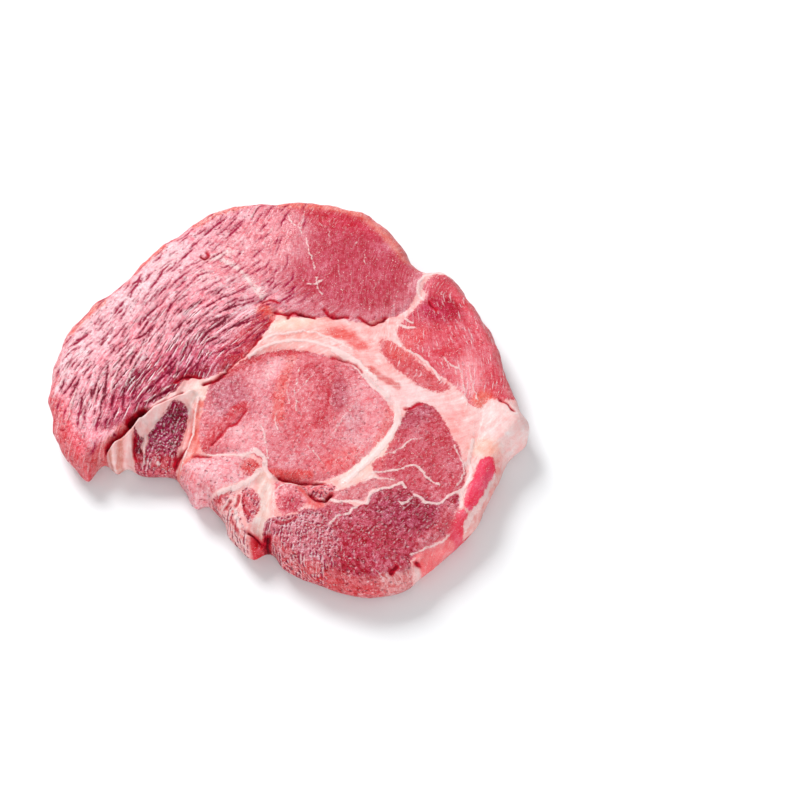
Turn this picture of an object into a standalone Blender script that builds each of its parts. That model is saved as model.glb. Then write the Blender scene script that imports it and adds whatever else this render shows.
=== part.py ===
"""A boneless slice of raw shoulder meat, cut across the carcass and lying flat.

Metres, +Z up. The origin is on the table, under the middle of the slice. +X points to the
knob of fat at its right end and +Y to the back of the cap, the large coarse-grained muscle.
"""

import math

import bpy
import numpy as np

MM = 0.001

# Driving dimensions, in millimetres
SLICE_WIDTH = 180.0
THICKNESS = 15.5
RIM_ROUNDING = 6.5
BASE_ROUNDING = 3.5
SIDE_LUMPS = 0.6
SIDE_LUMP_LENGTH = 11.0
BASE_CLEARANCE = 0.5
RELIEF_FROM = 0.3
TOP_WAVES = 0.7
TOP_WAVE_LENGTH = 46.0

# How finely it is worked
DRAWN_WIDTH = 180.0
OUTLINE_STEP = 1.5
VOXEL = 1.25
TRIANGLES = 10400
WAVE_COUNT = 14
SEED = 7

LEAN_COLOUR = (0.60, 0.15, 0.19, 1.0)
LEAN_ROUGHNESS = 0.38

# Plan of the slice in millimetres, clockwise from the left end of the cap, at the widest part of its side
OUTLINE = [
    (-91, 0), (-90, 12), (-87, 23), (-79, 35), (-69, 44), (-62, 55), (-56, 64), (-48, 70), (-40, 78),
    (-32, 84), (-20, 87), (-2, 88), (14, 86), (27, 82), (37, 73), (44, 62), (50, 52), (58, 51), (64, 47),
    (68, 39), (73, 30), (79, 17), (80, 12), (83, 0), (86, -11), (89, -18), (88, -24), (82, -31), (77, -41),
    (73, -51), (68, -61), (60, -70), (50, -79), (43, -85), (32, -88), (20, -86), (8, -81), (-1, -76),
    (-6, -70), (-12, -72), (-18, -67), (-23, -58), (-29, -50), (-34, -51), (-39, -43), (-43, -38),
    (-54, -37), (-60, -33), (-64, -35), (-69, -31), (-73, -36), (-78, -32), (-84, -24), (-89, -12),
]

# Swellings of the cut face: middle, reach along and across, turn in degrees, height
SWELLS = {
    "cap": ((-42, 34), (44, 30), 55, 1.6),
    "cap corner": ((20, 60), (28, 20), -30, 0.9),
    "eye": ((10, -18), (26, 20), 10, 1.3),
    "right muscle": ((63, 18), (14, 26), 15, 0.9),
    "lower muscle": ((24, -68), (28, 13), 0, 1.3),
    "inner muscle": ((48, -33), (11, 13), 20, 0.9),
    "oval muscle": ((-24, -44), (12, 7), 10, 1.5),
    "round muscle": ((3, -58), (9, 6), 0, 1.2),
    "fat knob": ((79, -22), (8, 10), 0, 2.4),
    "knuckle of fat": ((55, 44), (7, 6), 0, 1.4),
}

# Where the muscles part: route, half width, depth
FURROWS = {
    "cap from eye": (
        [(-53, -17), (-40, -9), (-38, -2), (-31, 0), (-25, 4), (-12, 19), (-6, 31), (0, 29), (11, 28),
         (32, 25), (47, 35), (51, 43)], 1.7, 2.2),
    "cleft under the cap": ([(-71, -39), (-66, -33), (-61, -28), (-57, -22), (-53, -17)], 1.9, 7.0),
    "back of the eye": ([(-24, 3), (-10, 11), (-1, 12), (12, 9), (24, 5), (38, -11), (41, -16)], 1.6, 1.0),
    "front of the eye": ([(38, -23), (27, -38), (14, -45), (6, -45), (-8, -41), (-19, -34), (-29, -35)], 1.7, 1.6),
    "split by the eye": ([(-3, -45), (4, -46), (9, -51), (14, -53)], 1.8, 2.4),
    "side of the knob": ([(73, -12), (68, -33), (64, -50), (59, -65), (45, -77)], 1.8, 1.0),
    "foot of the oval": ([(-30, -54), (-15, -50), (-7, -46), (-7, -59), (-6, -66)], 1.7, 1.5),
    "hollow at the front": ([(-9, -62), (-11, -68)], 2.2, 5.0),
    "side of the flap": ([(-34, -9), (-37, -19), (-38, -32), (-42, -40)], 2.0, 3.2),
    "first grain furrow": ([(-45, -4), (-38, 12), (-24, 26), (-8, 38)], 1.5, 0.9),
    "second grain furrow": ([(-60, -8), (-52, 12), (-38, 30), (-20, 44)], 1.5, 0.9),
    "third grain furrow": ([(-74, -12), (-68, 8), (-56, 28), (-40, 46)], 1.5, 0.8),
}

# The flap, a torn strip of muscle and membrane that lies lower than the face
FLAP_EDGE = [(-69, -38), (-62, -29), (-54, -19), (-44, -13), (-37, -12), (-39, -25), (-41, -42), (-56, -45)]
FLAP_DROP = 4.2
FLAP_BLEND = 3.0


def smooth_route(points, step, closed=False):
    """Points about one step apart on the smooth curve through these ones."""
    corners = np.array(points, float)
    if closed:
        ends = (corners[-1:], corners[:2])
    else:
        ends = (2 * corners[:1] - corners[1:2], 2 * corners[-1:] - corners[-2:-1])
    around = np.concatenate([ends[0], corners, ends[1]])
    found = []
    for before, start, end, after in zip(around, around[1:], around[2:], around[3:]):
        count = max(1, round(float(np.linalg.norm(end - start)) / step))
        t = np.arange(count)[:, None] / count
        linear = 0.5 * (end - before)
        square = before - 2.5 * start + 2 * end - 0.5 * after
        cube = 1.5 * (start - end) + 0.5 * (after - before)
        found.append(start + t * linear + t**2 * square + t**3 * cube)
    if not closed:
        found.append(corners[-1:])
    return np.concatenate(found)


def distance_to(places, route, closed=False):
    """Each place's distance to the route, and the unit vector to the right of the route at its nearest point."""
    starts = route if closed else route[:-1]
    ends = np.roll(route, -1, axis=0) if closed else route[1:]
    runs = ends - starts
    rights = np.c_[runs[:, 1], -runs[:, 0]] / np.linalg.norm(runs, axis=1)[:, None]
    best = np.full(len(places), np.inf)
    nearest = np.zeros((len(places), 2))
    for start, run, right in zip(starts, runs, rights):
        share = np.clip((places - start) @ run / (run @ run), 0, 1)
        gap = np.linalg.norm(places - start - share[:, None] * run, axis=1)
        closer = gap < best
        best[closer] = gap[closer]
        nearest[closer] = right
    return best, nearest


def inside(places, route):
    """True for each place within the closed route."""
    crossings = np.zeros(len(places), bool)
    for (x0, y0), (x1, y1) in zip(route, np.roll(route, -1, axis=0)):
        spans = (y0 > places[:, 1]) != (y1 > places[:, 1])
        height = y1 - y0 if y1 != y0 else 1.0
        crossings ^= spans & (places[:, 0] < x0 + (places[:, 1] - y0) * (x1 - x0) / height)
    return crossings


def smooth_step(value):
    """0 up to 0, 1 from 1, and a smooth rise between."""
    share = np.clip(value, 0, 1)
    return share * share * (3 - 2 * share)


def waves(places, length, draw):
    """An uneven field between about -1 and 1, on a plane or in space, whose bumps are about this long."""
    total = np.zeros(len(places))
    for _ in range(WAVE_COUNT):
        heading = draw.normal(size=places.shape[1])
        heading /= np.linalg.norm(heading)
        length_here = length * draw.uniform(0.7, 1.5)
        total += np.sin(2 * math.pi * (places @ heading) / length_here + draw.uniform(0, 2 * math.pi))
    return total / math.sqrt(WAVE_COUNT)


def plan_outline():
    """The slice's outline, sized to its width and centred on the origin."""
    route = smooth_route(OUTLINE, OUTLINE_STEP, closed=True) * SLICE_WIDTH / DRAWN_WIDTH
    return route - (route.min(axis=0) + route.max(axis=0)) / 2


def slab(route):
    """A slab of the slice's outline and thickness, as a filled and extruded curve made into a mesh."""
    curve = bpy.data.curves.new("slice_outline", "CURVE")
    curve.dimensions = "2D"
    curve.fill_mode = "BOTH"
    curve.extrude = THICKNESS / 2 * MM
    spline = curve.splines.new("POLY")
    spline.points.add(len(route) - 1)
    for point, (x, y) in zip(spline.points, route * MM):
        point.co = (x, y, 0, 1)
    spline.use_cyclic_u = True
    drawn = bpy.data.objects.new("slice_outline", curve)
    drawn.location.z = THICKNESS / 2 * MM
    bpy.context.scene.collection.objects.link(drawn)
    bpy.context.view_layer.update()
    graph = bpy.context.evaluated_depsgraph_get()
    mesh = bpy.data.meshes.new_from_object(drawn.evaluated_get(graph))
    mesh.transform(drawn.matrix_world)
    bpy.data.objects.remove(drawn)
    return mesh


def evenly_meshed(mesh):
    """The same body with small even faces, which can be worked like clay."""
    body = bpy.data.objects.new("meat_slice", mesh)
    bpy.context.scene.collection.objects.link(body)
    remesh = body.modifiers.new("even faces", "REMESH")
    remesh.mode = "VOXEL"
    remesh.voxel_size = VOXEL * MM
    remesh.adaptivity = 0
    bpy.context.view_layer.update()
    graph = bpy.context.evaluated_depsgraph_get()
    body.data = bpy.data.meshes.new_from_object(body.evaluated_get(graph))
    body.modifiers.remove(remesh)
    return body


def rounded_side(points, depth, inward):
    """Rounds the slab's upper and lower edges, turning its square section into an oval one."""
    middle = THICKNESS / 2
    up = np.clip(points[:, 2] / middle - 1, -1, 1)
    rounding = np.where(up > 0, RIM_ROUNDING, BASE_ROUNDING)
    out = np.clip(1 - depth / rounding, 0, 1)
    back = (out - out * np.sqrt(1 - up**2 / 2)) * rounding
    height = middle + middle * up * np.sqrt(1 - out**2 / 2)
    return np.c_[points[:, :2] + inward * back[:, None], height]


def face_relief(places, draw):
    """How far each place of the cut face rises above a flat slice."""
    rise = TOP_WAVES * waves(places, TOP_WAVE_LENGTH, draw)
    for middle, reach, turn, height in SWELLS.values():
        angle = math.radians(turn)
        away = places - np.array(middle)
        along = (away[:, 0] * math.cos(angle) + away[:, 1] * math.sin(angle)) / reach[0]
        across = (away[:, 1] * math.cos(angle) - away[:, 0] * math.sin(angle)) / reach[1]
        rise += height * np.exp(-(along**2) - across**2)
    flap = smooth_route(FLAP_EDGE, OUTLINE_STEP, closed=True)
    gap, _ = distance_to(places, flap, closed=True)
    rise -= FLAP_DROP * smooth_step(np.where(inside(places, flap), gap, -gap) / FLAP_BLEND + 0.5)
    for route, half_width, depth in FURROWS.values():
        gap, _ = distance_to(places, smooth_route(route, OUTLINE_STEP))
        rise -= depth * np.exp(-((gap / half_width) ** 2))
    return rise


def sculpt(mesh, route):
    """Works the slab into the slice: a rounded lumpy side, a flat base and the relief of the cut face."""
    draw = np.random.default_rng(SEED)
    points = np.empty(len(mesh.vertices) * 3, np.float32)
    mesh.vertices.foreach_get("co", points)
    flat = points.reshape(-1, 3).astype(float) / MM
    depth, inward = distance_to(flat[:, :2], route, closed=True)
    depth *= np.where(inside(flat[:, :2], route), 1, -1)
    points = rounded_side(flat, depth, inward)
    off_table = smooth_step((points[:, 2] - BASE_CLEARANCE) / (THICKNESS / 4))
    lump = SIDE_LUMPS * waves(flat, SIDE_LUMP_LENGTH, draw)
    near_side = np.exp(-((np.maximum(depth, 0) / RIM_ROUNDING) ** 2)) * off_table
    points[:, :2] -= inward * (lump * near_side)[:, None]
    share = smooth_step((points[:, 2] / THICKNESS - RELIEF_FROM) / (1 - RELIEF_FROM - RELIEF_FROM / 3))
    points[:, 2] += share * face_relief(points[:, :2], draw)
    base = (flat[:, 2] < VOXEL / 2) & (depth > BASE_ROUNDING)
    points[base, 2] = 0
    low, high = points.min(axis=0), points.max(axis=0)
    points -= np.array([(low[0] + high[0]) / 2, (low[1] + high[1]) / 2, low[2]])
    points[:, :2] *= SLICE_WIDTH / (high[0] - low[0])
    mesh.vertices.foreach_set("co", (points * MM).astype(np.float32).ravel())
    mesh.update()


def thinned(body):
    """Leaves few large faces where the slice is flat and many small ones where it has relief."""
    decimate = body.modifiers.new("fewer faces", "DECIMATE")
    decimate.ratio = TRIANGLES / sum(len(face.vertices) - 2 for face in body.data.polygons)
    body.modifiers.new("triangles", "TRIANGULATE")


def raw_lean():
    """The wet red of raw lean meat."""
    material = bpy.data.materials.new("raw_meat")
    material.use_nodes = True
    shader = material.node_tree.nodes["Principled BSDF"]
    shader.inputs["Base Color"].default_value = LEAN_COLOUR
    shader.inputs["Roughness"].default_value = LEAN_ROUGHNESS
    shader.inputs["Metallic"].default_value = 0.0
    return material


def main():
    """Builds the slice."""
    for thing in list(bpy.data.objects):
        bpy.data.objects.remove(thing)
    route = plan_outline()
    body = evenly_meshed(slab(route))
    sculpt(body.data, route)
    thinned(body)
    body.data.shade_smooth()
    body.data.materials.clear()
    body.data.materials.append(raw_lean())
    collection = bpy.data.collections.new("raw_meat_slice")
    bpy.context.scene.collection.children.link(collection)
    collection.objects.link(body)
    bpy.context.scene.collection.objects.unlink(body)


main()
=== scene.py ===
"""A thick boneless slice of raw shoulder meat, lying on a white table with its cut face up.

The anatomy is given in millimetres as it was drawn: x runs to the knob of fat, y to the back of the cap and
z up from the table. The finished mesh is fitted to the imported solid. Colours are screen colours, 0 to 255.
"""

import functools
import itertools
import logging
import math
from dataclasses import dataclass, field
from enum import Enum

import bpy
import numpy as np
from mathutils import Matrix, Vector
from mathutils.geometry import delaunay_2d_cdt


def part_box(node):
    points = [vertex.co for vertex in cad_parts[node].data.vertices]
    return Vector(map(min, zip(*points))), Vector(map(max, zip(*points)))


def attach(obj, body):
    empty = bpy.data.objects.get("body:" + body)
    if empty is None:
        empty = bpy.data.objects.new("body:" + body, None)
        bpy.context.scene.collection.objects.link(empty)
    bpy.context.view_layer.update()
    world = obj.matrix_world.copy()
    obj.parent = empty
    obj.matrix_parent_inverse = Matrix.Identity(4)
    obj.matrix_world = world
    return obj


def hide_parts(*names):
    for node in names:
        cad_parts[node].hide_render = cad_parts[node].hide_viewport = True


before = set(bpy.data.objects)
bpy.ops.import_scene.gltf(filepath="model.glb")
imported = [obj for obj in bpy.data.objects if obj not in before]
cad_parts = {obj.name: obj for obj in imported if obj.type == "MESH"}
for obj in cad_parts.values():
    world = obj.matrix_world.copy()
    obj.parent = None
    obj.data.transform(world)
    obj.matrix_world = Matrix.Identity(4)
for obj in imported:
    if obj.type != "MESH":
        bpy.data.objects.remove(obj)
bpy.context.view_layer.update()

LOG = logging.getLogger("meat_slice")
MM = 0.001
NODE = "meat_slice"

# How far apart the points of a followed line are, in millimetres
ROUTE_STEP = 1.5

Point = tuple[float, float]
Tone = tuple[int, int, int]
Socket = bpy.types.NodeSocket


# ---------------------------------------------------------------- plane geometry


def smooth_route(points: list[Point], step: float, closed: bool = False) -> np.ndarray:
    """Follows a smooth curve through a few points.

    Args:
        points: The points it passes through, in order.
        step: About how far apart the returned points are.
        closed: Whether the last point joins the first.

    Returns:
        The curve's points, one row each.
    """
    corners = np.array(points, float)
    if closed:
        ends = (corners[-1:], corners[:2])
    else:
        ends = (2 * corners[:1] - corners[1:2], 2 * corners[-1:] - corners[-2:-1])
    around = np.concatenate([ends[0], corners, ends[1]])
    found = []
    for before, start, end, after in zip(around, around[1:], around[2:], around[3:]):
        count = max(1, round(float(np.linalg.norm(end - start)) / step))
        t = np.arange(count)[:, None] / count
        linear = 0.5 * (end - before)
        square = before - 2.5 * start + 2 * end - 0.5 * after
        cube = 1.5 * (start - end) + 0.5 * (after - before)
        found.append(start + t * linear + t**2 * square + t**3 * cube)
    if not closed:
        found.append(corners[-1:])
    return np.concatenate(found)


def distance_to(
    places: np.ndarray, route: np.ndarray, reach: float, closed: bool = False
) -> tuple[np.ndarray, np.ndarray]:
    """Measures how far places lie from a route.

    Args:
        places: The places, one row each.
        route: The route's points.
        reach: The longest distance that matters; farther places get this one.
        closed: Whether the route's last point joins its first.

    Returns:
        Each place's distance, and the index of the route's piece that is nearest to it.
    """
    distance = np.full(len(places), float(reach))
    nearest = np.zeros(len(places), int)
    close = np.all((places > route.min(axis=0) - reach) & (places < route.max(axis=0) + reach), axis=1)
    candidates = places[close]
    best = distance[close]
    piece = nearest[close]
    ends = np.roll(route, -1, axis=0) if closed else route[1:]
    for index, (start, end) in enumerate(zip(route, ends)):
        run = end - start
        share = np.clip((candidates - start) @ run / max(float(run @ run), 1e-9), 0, 1)
        gap = np.hypot(*(candidates - start - share[:, None] * run).T)
        closer = gap < best
        best[closer] = gap[closer]
        piece[closer] = index
    distance[close] = best
    nearest[close] = piece
    return distance, nearest


def inside(places: np.ndarray, route: np.ndarray) -> np.ndarray:
    """Tells which places lie within a closed route.

    Args:
        places: The places, one row each.
        route: The closed route's points.

    Returns:
        True for each place within it.
    """
    crossings = np.zeros(len(places), bool)
    for (x0, y0), (x1, y1) in zip(route, np.roll(route, -1, axis=0)):
        if y0 == y1:
            continue
        spans = (y0 > places[:, 1]) != (y1 > places[:, 1])
        crossings ^= spans & (places[:, 0] < x0 + (places[:, 1] - y0) * (x1 - x0) / (y1 - y0))
    return crossings


def depth_in(places: np.ndarray, route: np.ndarray, reach: float) -> np.ndarray:
    """Measures how deep places lie within a closed route, as far as its reach, and below 0 outside it."""
    gap, _ = distance_to(places, route, reach, closed=True)
    return np.where(inside(places, route), gap, -gap)


def blend(first: np.ndarray, second: np.ndarray, share: np.ndarray) -> np.ndarray:
    """Mixes two rows of numbers at each place, by the second one's share there."""
    return first * (1 - share[:, None]) + second * share[:, None]


def smooth_step(value: np.ndarray) -> np.ndarray:
    """Rises smoothly from 0 at 0 to 1 at 1."""
    share = np.clip(value, 0, 1)
    return share * share * (3 - 2 * share)


def waves(places: np.ndarray, length: float, draw: np.random.Generator, count: int = 14) -> np.ndarray:
    """Makes an uneven field between about -1 and 1 out of crossing waves.

    Args:
        places: Places on a plane or in space, one row each.
        length: About how long its bumps are.
        draw: The source of the waves' headings, lengths and phases.
        count: How many waves are summed.

    Returns:
        The field at each place.
    """
    total = np.zeros(len(places))
    for _ in range(count):
        heading = draw.normal(size=places.shape[1])
        heading /= np.linalg.norm(heading)
        length_here = length * draw.uniform(0.7, 1.5)
        total += np.sin(2 * math.pi * (places @ heading) / length_here + draw.uniform(0, 2 * math.pi))
    return total / math.sqrt(count)


def ripples(places: np.ndarray, seed: int) -> np.ndarray:
    """Makes gradient noise between about -1 and 1, about one bump to each unit.

    Args:
        places: Places on a plane or in space, one row each.
        seed: Which of the many patterns it is.

    Returns:
        The noise at each place.
    """
    size = places.shape[1]
    slopes = np.random.default_rng(seed).normal(size=(256, size))
    slopes /= np.linalg.norm(slopes, axis=1)[:, None]
    cell = np.floor(places).astype(np.int64)
    local = places - cell
    fade = local**3 * (local * (6 * local - 15) + 10)
    total = np.zeros(len(places))
    for corner in itertools.product((0, 1), repeat=size):
        key = (cell + corner) @ np.array([73856093, 19349663, 83492791][:size]) + 7919 * seed
        key = ((key ^ (key >> 13)) * 1274126177) & 0x7FFFFFFF
        slope = slopes[(key ^ (key >> 15)) & 255]
        share = np.prod(np.where(np.array(corner) == 1, fade, 1 - fade), axis=1)
        total += share * np.sum(slope * (local - corner), axis=1)
    return total * 1.6


# ---------------------------------------------------------------- the parts of a cut face


def linear(tone: Tone) -> np.ndarray:
    """Turns a screen colour into linear light."""
    share = np.array(tone, float) / 255
    return np.where(share <= 0.04045, share / 12.92, ((share + 0.055) / 1.055) ** 2.4)


class Grain(Enum):
    """How a muscle's fibres meet the cut face: its shares of dark furrows, pale streaks and crumbs. The pale
    streaks are painted highlights over low strands in the relief.
    """

    ALONG = (1.0, 0.5, 0.6)
    SLANTED = (0.2, 1.0, 0.3)
    ACROSS = (0.0, 0.15, 0.5)
    PITTED = (0.0, 0.2, 0.75)
    CRUMBLY = (0.1, 0.2, 1.0)
    SMOOTH = (0.0, 0.05, 0.0)


@dataclass(frozen=True)
class Spot:
    """A soft oval area, given by its middle, its reach along and across, and its turn in degrees."""

    middle: Point
    reach: Point
    turn: float = 0.0

    def weight(self, places: np.ndarray) -> np.ndarray:
        """Gives 1 at the middle, falling smoothly to 0 outside.

        Args:
            places: The places, one row each.

        Returns:
            The weight at each place.
        """
        angle = math.radians(self.turn)
        away = places - np.array(self.middle)
        along = (away[:, 0] * math.cos(angle) + away[:, 1] * math.sin(angle)) / self.reach[0]
        across = (away[:, 1] * math.cos(angle) - away[:, 0] * math.sin(angle)) / self.reach[1]
        return np.exp(-(along**2) - across**2)

    def cover(self, places: np.ndarray, gain: float) -> np.ndarray:
        """Gives 1 around the middle, farther out for a higher gain, falling to 0 outside."""
        return np.clip(gain * self.weight(places), 0, 1)


@dataclass(frozen=True)
class Stripe:
    """A soft area along a route, given by its half width."""

    route: list[Point]
    half_width: float

    def weight(self, places: np.ndarray) -> np.ndarray:
        """Gives 1 on the route, falling smoothly to 0 outside."""
        gap, _ = distance_to(places, smooth_route(self.route, ROUTE_STEP), 3 * self.half_width)
        return np.exp(-((gap / self.half_width) ** 2))


@dataclass(frozen=True)
class Swell:
    """A soft rise of the face, or a hollow where the height is negative."""

    area: Spot | Stripe
    height: float


@dataclass(frozen=True)
class Tint:
    """A soft area where the tissue takes another colour."""

    area: Spot | Stripe
    tone: Tone
    strength: float = 0.8


@dataclass(frozen=True)
class Film:
    """A soft area of membrane over the meat, and how dense it is."""

    area: Spot | Stripe
    density: float


@dataclass(frozen=True)
class Texture:
    """A pattern of small bumps: its number, and how long its bumps are across and along, in millimetres."""

    number: int
    across: float
    along: float

    def at(self, places: np.ndarray) -> np.ndarray:
        """Gives the pattern, between about -1 and 1, at places across and along it."""
        return ripples(places / (self.across, self.along), self.number)


@dataclass(frozen=True)
class Muscle:
    """A muscle cut through by the face: its border, its colour, its grain and how soft its border is."""

    border: list[Point]
    tone: Tone
    grain: Grain
    softness: float = 1.0


@dataclass(frozen=True)
class Vein:
    """A line of fat or a thin white thread: its route, width, how solid it is, and how far it stands up."""

    route: list[Point]
    width: float
    solidity: float = 1.0
    height: float = 0.15


@dataclass(frozen=True)
class Furrow:
    """A groove in the face: its route, half width and depth."""

    route: list[Point]
    half_width: float
    depth: float


# Plan of the slice, clockwise from the left end of the cap, at the widest part of its side
OUTLINE: list[Point] = [
    (-91, 0), (-90, 12), (-87, 23), (-79, 35), (-69, 44), (-62, 55), (-56, 64), (-48, 70), (-40, 78),
    (-32, 84), (-20, 87), (-2, 88), (14, 86), (27, 82), (37, 73), (44, 62), (50, 52), (58, 51), (64, 47),
    (68, 39), (73, 30), (79, 17), (80, 12), (83, 0), (86, -11), (89, -18), (88, -24), (82, -31), (77, -41),
    (73, -51), (68, -61), (60, -70), (50, -79), (43, -85), (32, -88), (20, -86), (8, -81), (-1, -76),
    (-6, -70), (-12, -72), (-18, -67), (-23, -58), (-29, -50), (-34, -51), (-39, -43), (-43, -38),
    (-54, -37), (-60, -34), (-64, -36), (-69, -32), (-74, -39), (-80, -34), (-86, -25), (-90, -12),
]

# The two folds of the flap's lip
FIRST_FOLD: list[Point] = [(-61, -29), (-62, -33), (-63, -38)]
SECOND_FOLD: list[Point] = [(-65, -33), (-66, -38)]

SWELLS: dict[str, Swell] = {
    "cap": Swell(Spot((-42, 34), (44, 30), 55), 1.6),
    "cap corner": Swell(Spot((20, 60), (28, 20), -30), 0.9),
    "eye": Swell(Spot((10, -18), (26, 20), 10), 1.3),
    "right muscle": Swell(Spot((63, 18), (14, 26), 15), 0.9),
    "lower muscle": Swell(Spot((24, -68), (28, 13)), 1.3),
    "inner muscle": Swell(Spot((48, -33), (11, 13), 20), 0.9),
    "oval muscle": Swell(Spot((-24, -44), (12, 7), 10), 1.5),
    "round muscle": Swell(Spot((2, -54), (9, 7)), 1.0),
    "fat knob": Swell(Spot((79, -22), (8, 10)), 2.4),
    "knuckle of fat": Swell(Spot((55, 44), (7, 6)), 1.4),
    "lip of the flap": Swell(
        Stripe([(-37, -9), (-44, -13), (-51, -17), (-54, -21), (-58, -27), (-64, -32), (-67, -37)], 1.7),
        3.0),
    "bulb of the flap": Swell(Spot((-48, -20), (4.5, 2.6), 35), 1.6),
    "first curl": Swell(Stripe([(-55, -21), (-57, -26), (-58, -29), (-57, -33), (-56, -35)], 0.9), 1.4),
    "second curl": Swell(Stripe([(-53, -22), (-53, -29), (-53, -37)], 0.8), 0.7),
    "ridge beside the flap": Swell(Stripe([(-34, -11), (-35, -26), (-37, -33), (-40, -42)], 0.8), 0.8),
    "first front lump": Swell(Spot((-23, -53), (4.5, 3), -20), 0.9),
    "second front lump": Swell(Spot((-13, -56), (3, 6)), 0.8),
    "third front lump": Swell(Spot((-18, -63), (3, 7), 25), 0.8),
}

# The large furrows between the muscles
SEAMS: dict[str, Furrow] = {
    "cap from eye": Furrow(
        [(-40, -9), (-38, -2), (-31, 0), (-25, 4), (-12, 19), (-6, 31), (0, 29), (11, 28), (32, 25),
         (47, 35), (51, 43)], 1.7, 0.9),
    "back of the eye": Furrow(
        [(-24, 3), (-10, 11), (-1, 12), (12, 9), (24, 5), (38, -11), (41, -16)], 1.6, 0.8),
    "right of the eye": Furrow([(38, -23), (27, -38), (16, -44)], 1.5, 0.4),
    "front of the eye": Furrow([(14, -45), (6, -45), (-8, -41), (-19, -34), (-29, -35)], 1.7, 1.1),
    "split by the eye": Furrow([(-3, -45), (4, -46), (9, -51), (14, -53)], 1.6, 1.4),
    "side of the knob": Furrow([(73, -12), (68, -33), (64, -50), (59, -65), (45, -77)], 1.8, 0.8),
    "foot of the oval": Furrow([(-30, -54), (-15, -50), (-7, -46), (-7, -59), (-6, -66)], 1.7, 0.7),
    "side of the flap": Furrow([(-37, -19), (-38, -32), (-42, -40)], 2.0, 1.5),
    "first grain furrow": Furrow([(-45, -4), (-38, 12), (-24, 26), (-8, 38)], 1.5, 0.6),
    "second grain furrow": Furrow([(-60, -8), (-52, 12), (-38, 30), (-20, 44)], 1.5, 0.6),
    "third grain furrow": Furrow([(-74, -12), (-68, 8), (-56, 28), (-40, 46)], 1.5, 0.5),
    "notch at the front": Furrow([(-9, -66), (-8, -74)], 2.6, 3.5),
    "first fold of the flap": Furrow(FIRST_FOLD, 0.9, 1.1),
    "second fold of the flap": Furrow(SECOND_FOLD, 0.8, 0.8),
}

FLAP: list[Point] = [
    (-50, -18), (-44, -14), (-39, -12), (-36, -18), (-38, -30), (-41, -42), (-56, -45), (-68, -42),
    (-66, -36), (-58, -28), (-54, -22),
]

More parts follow.
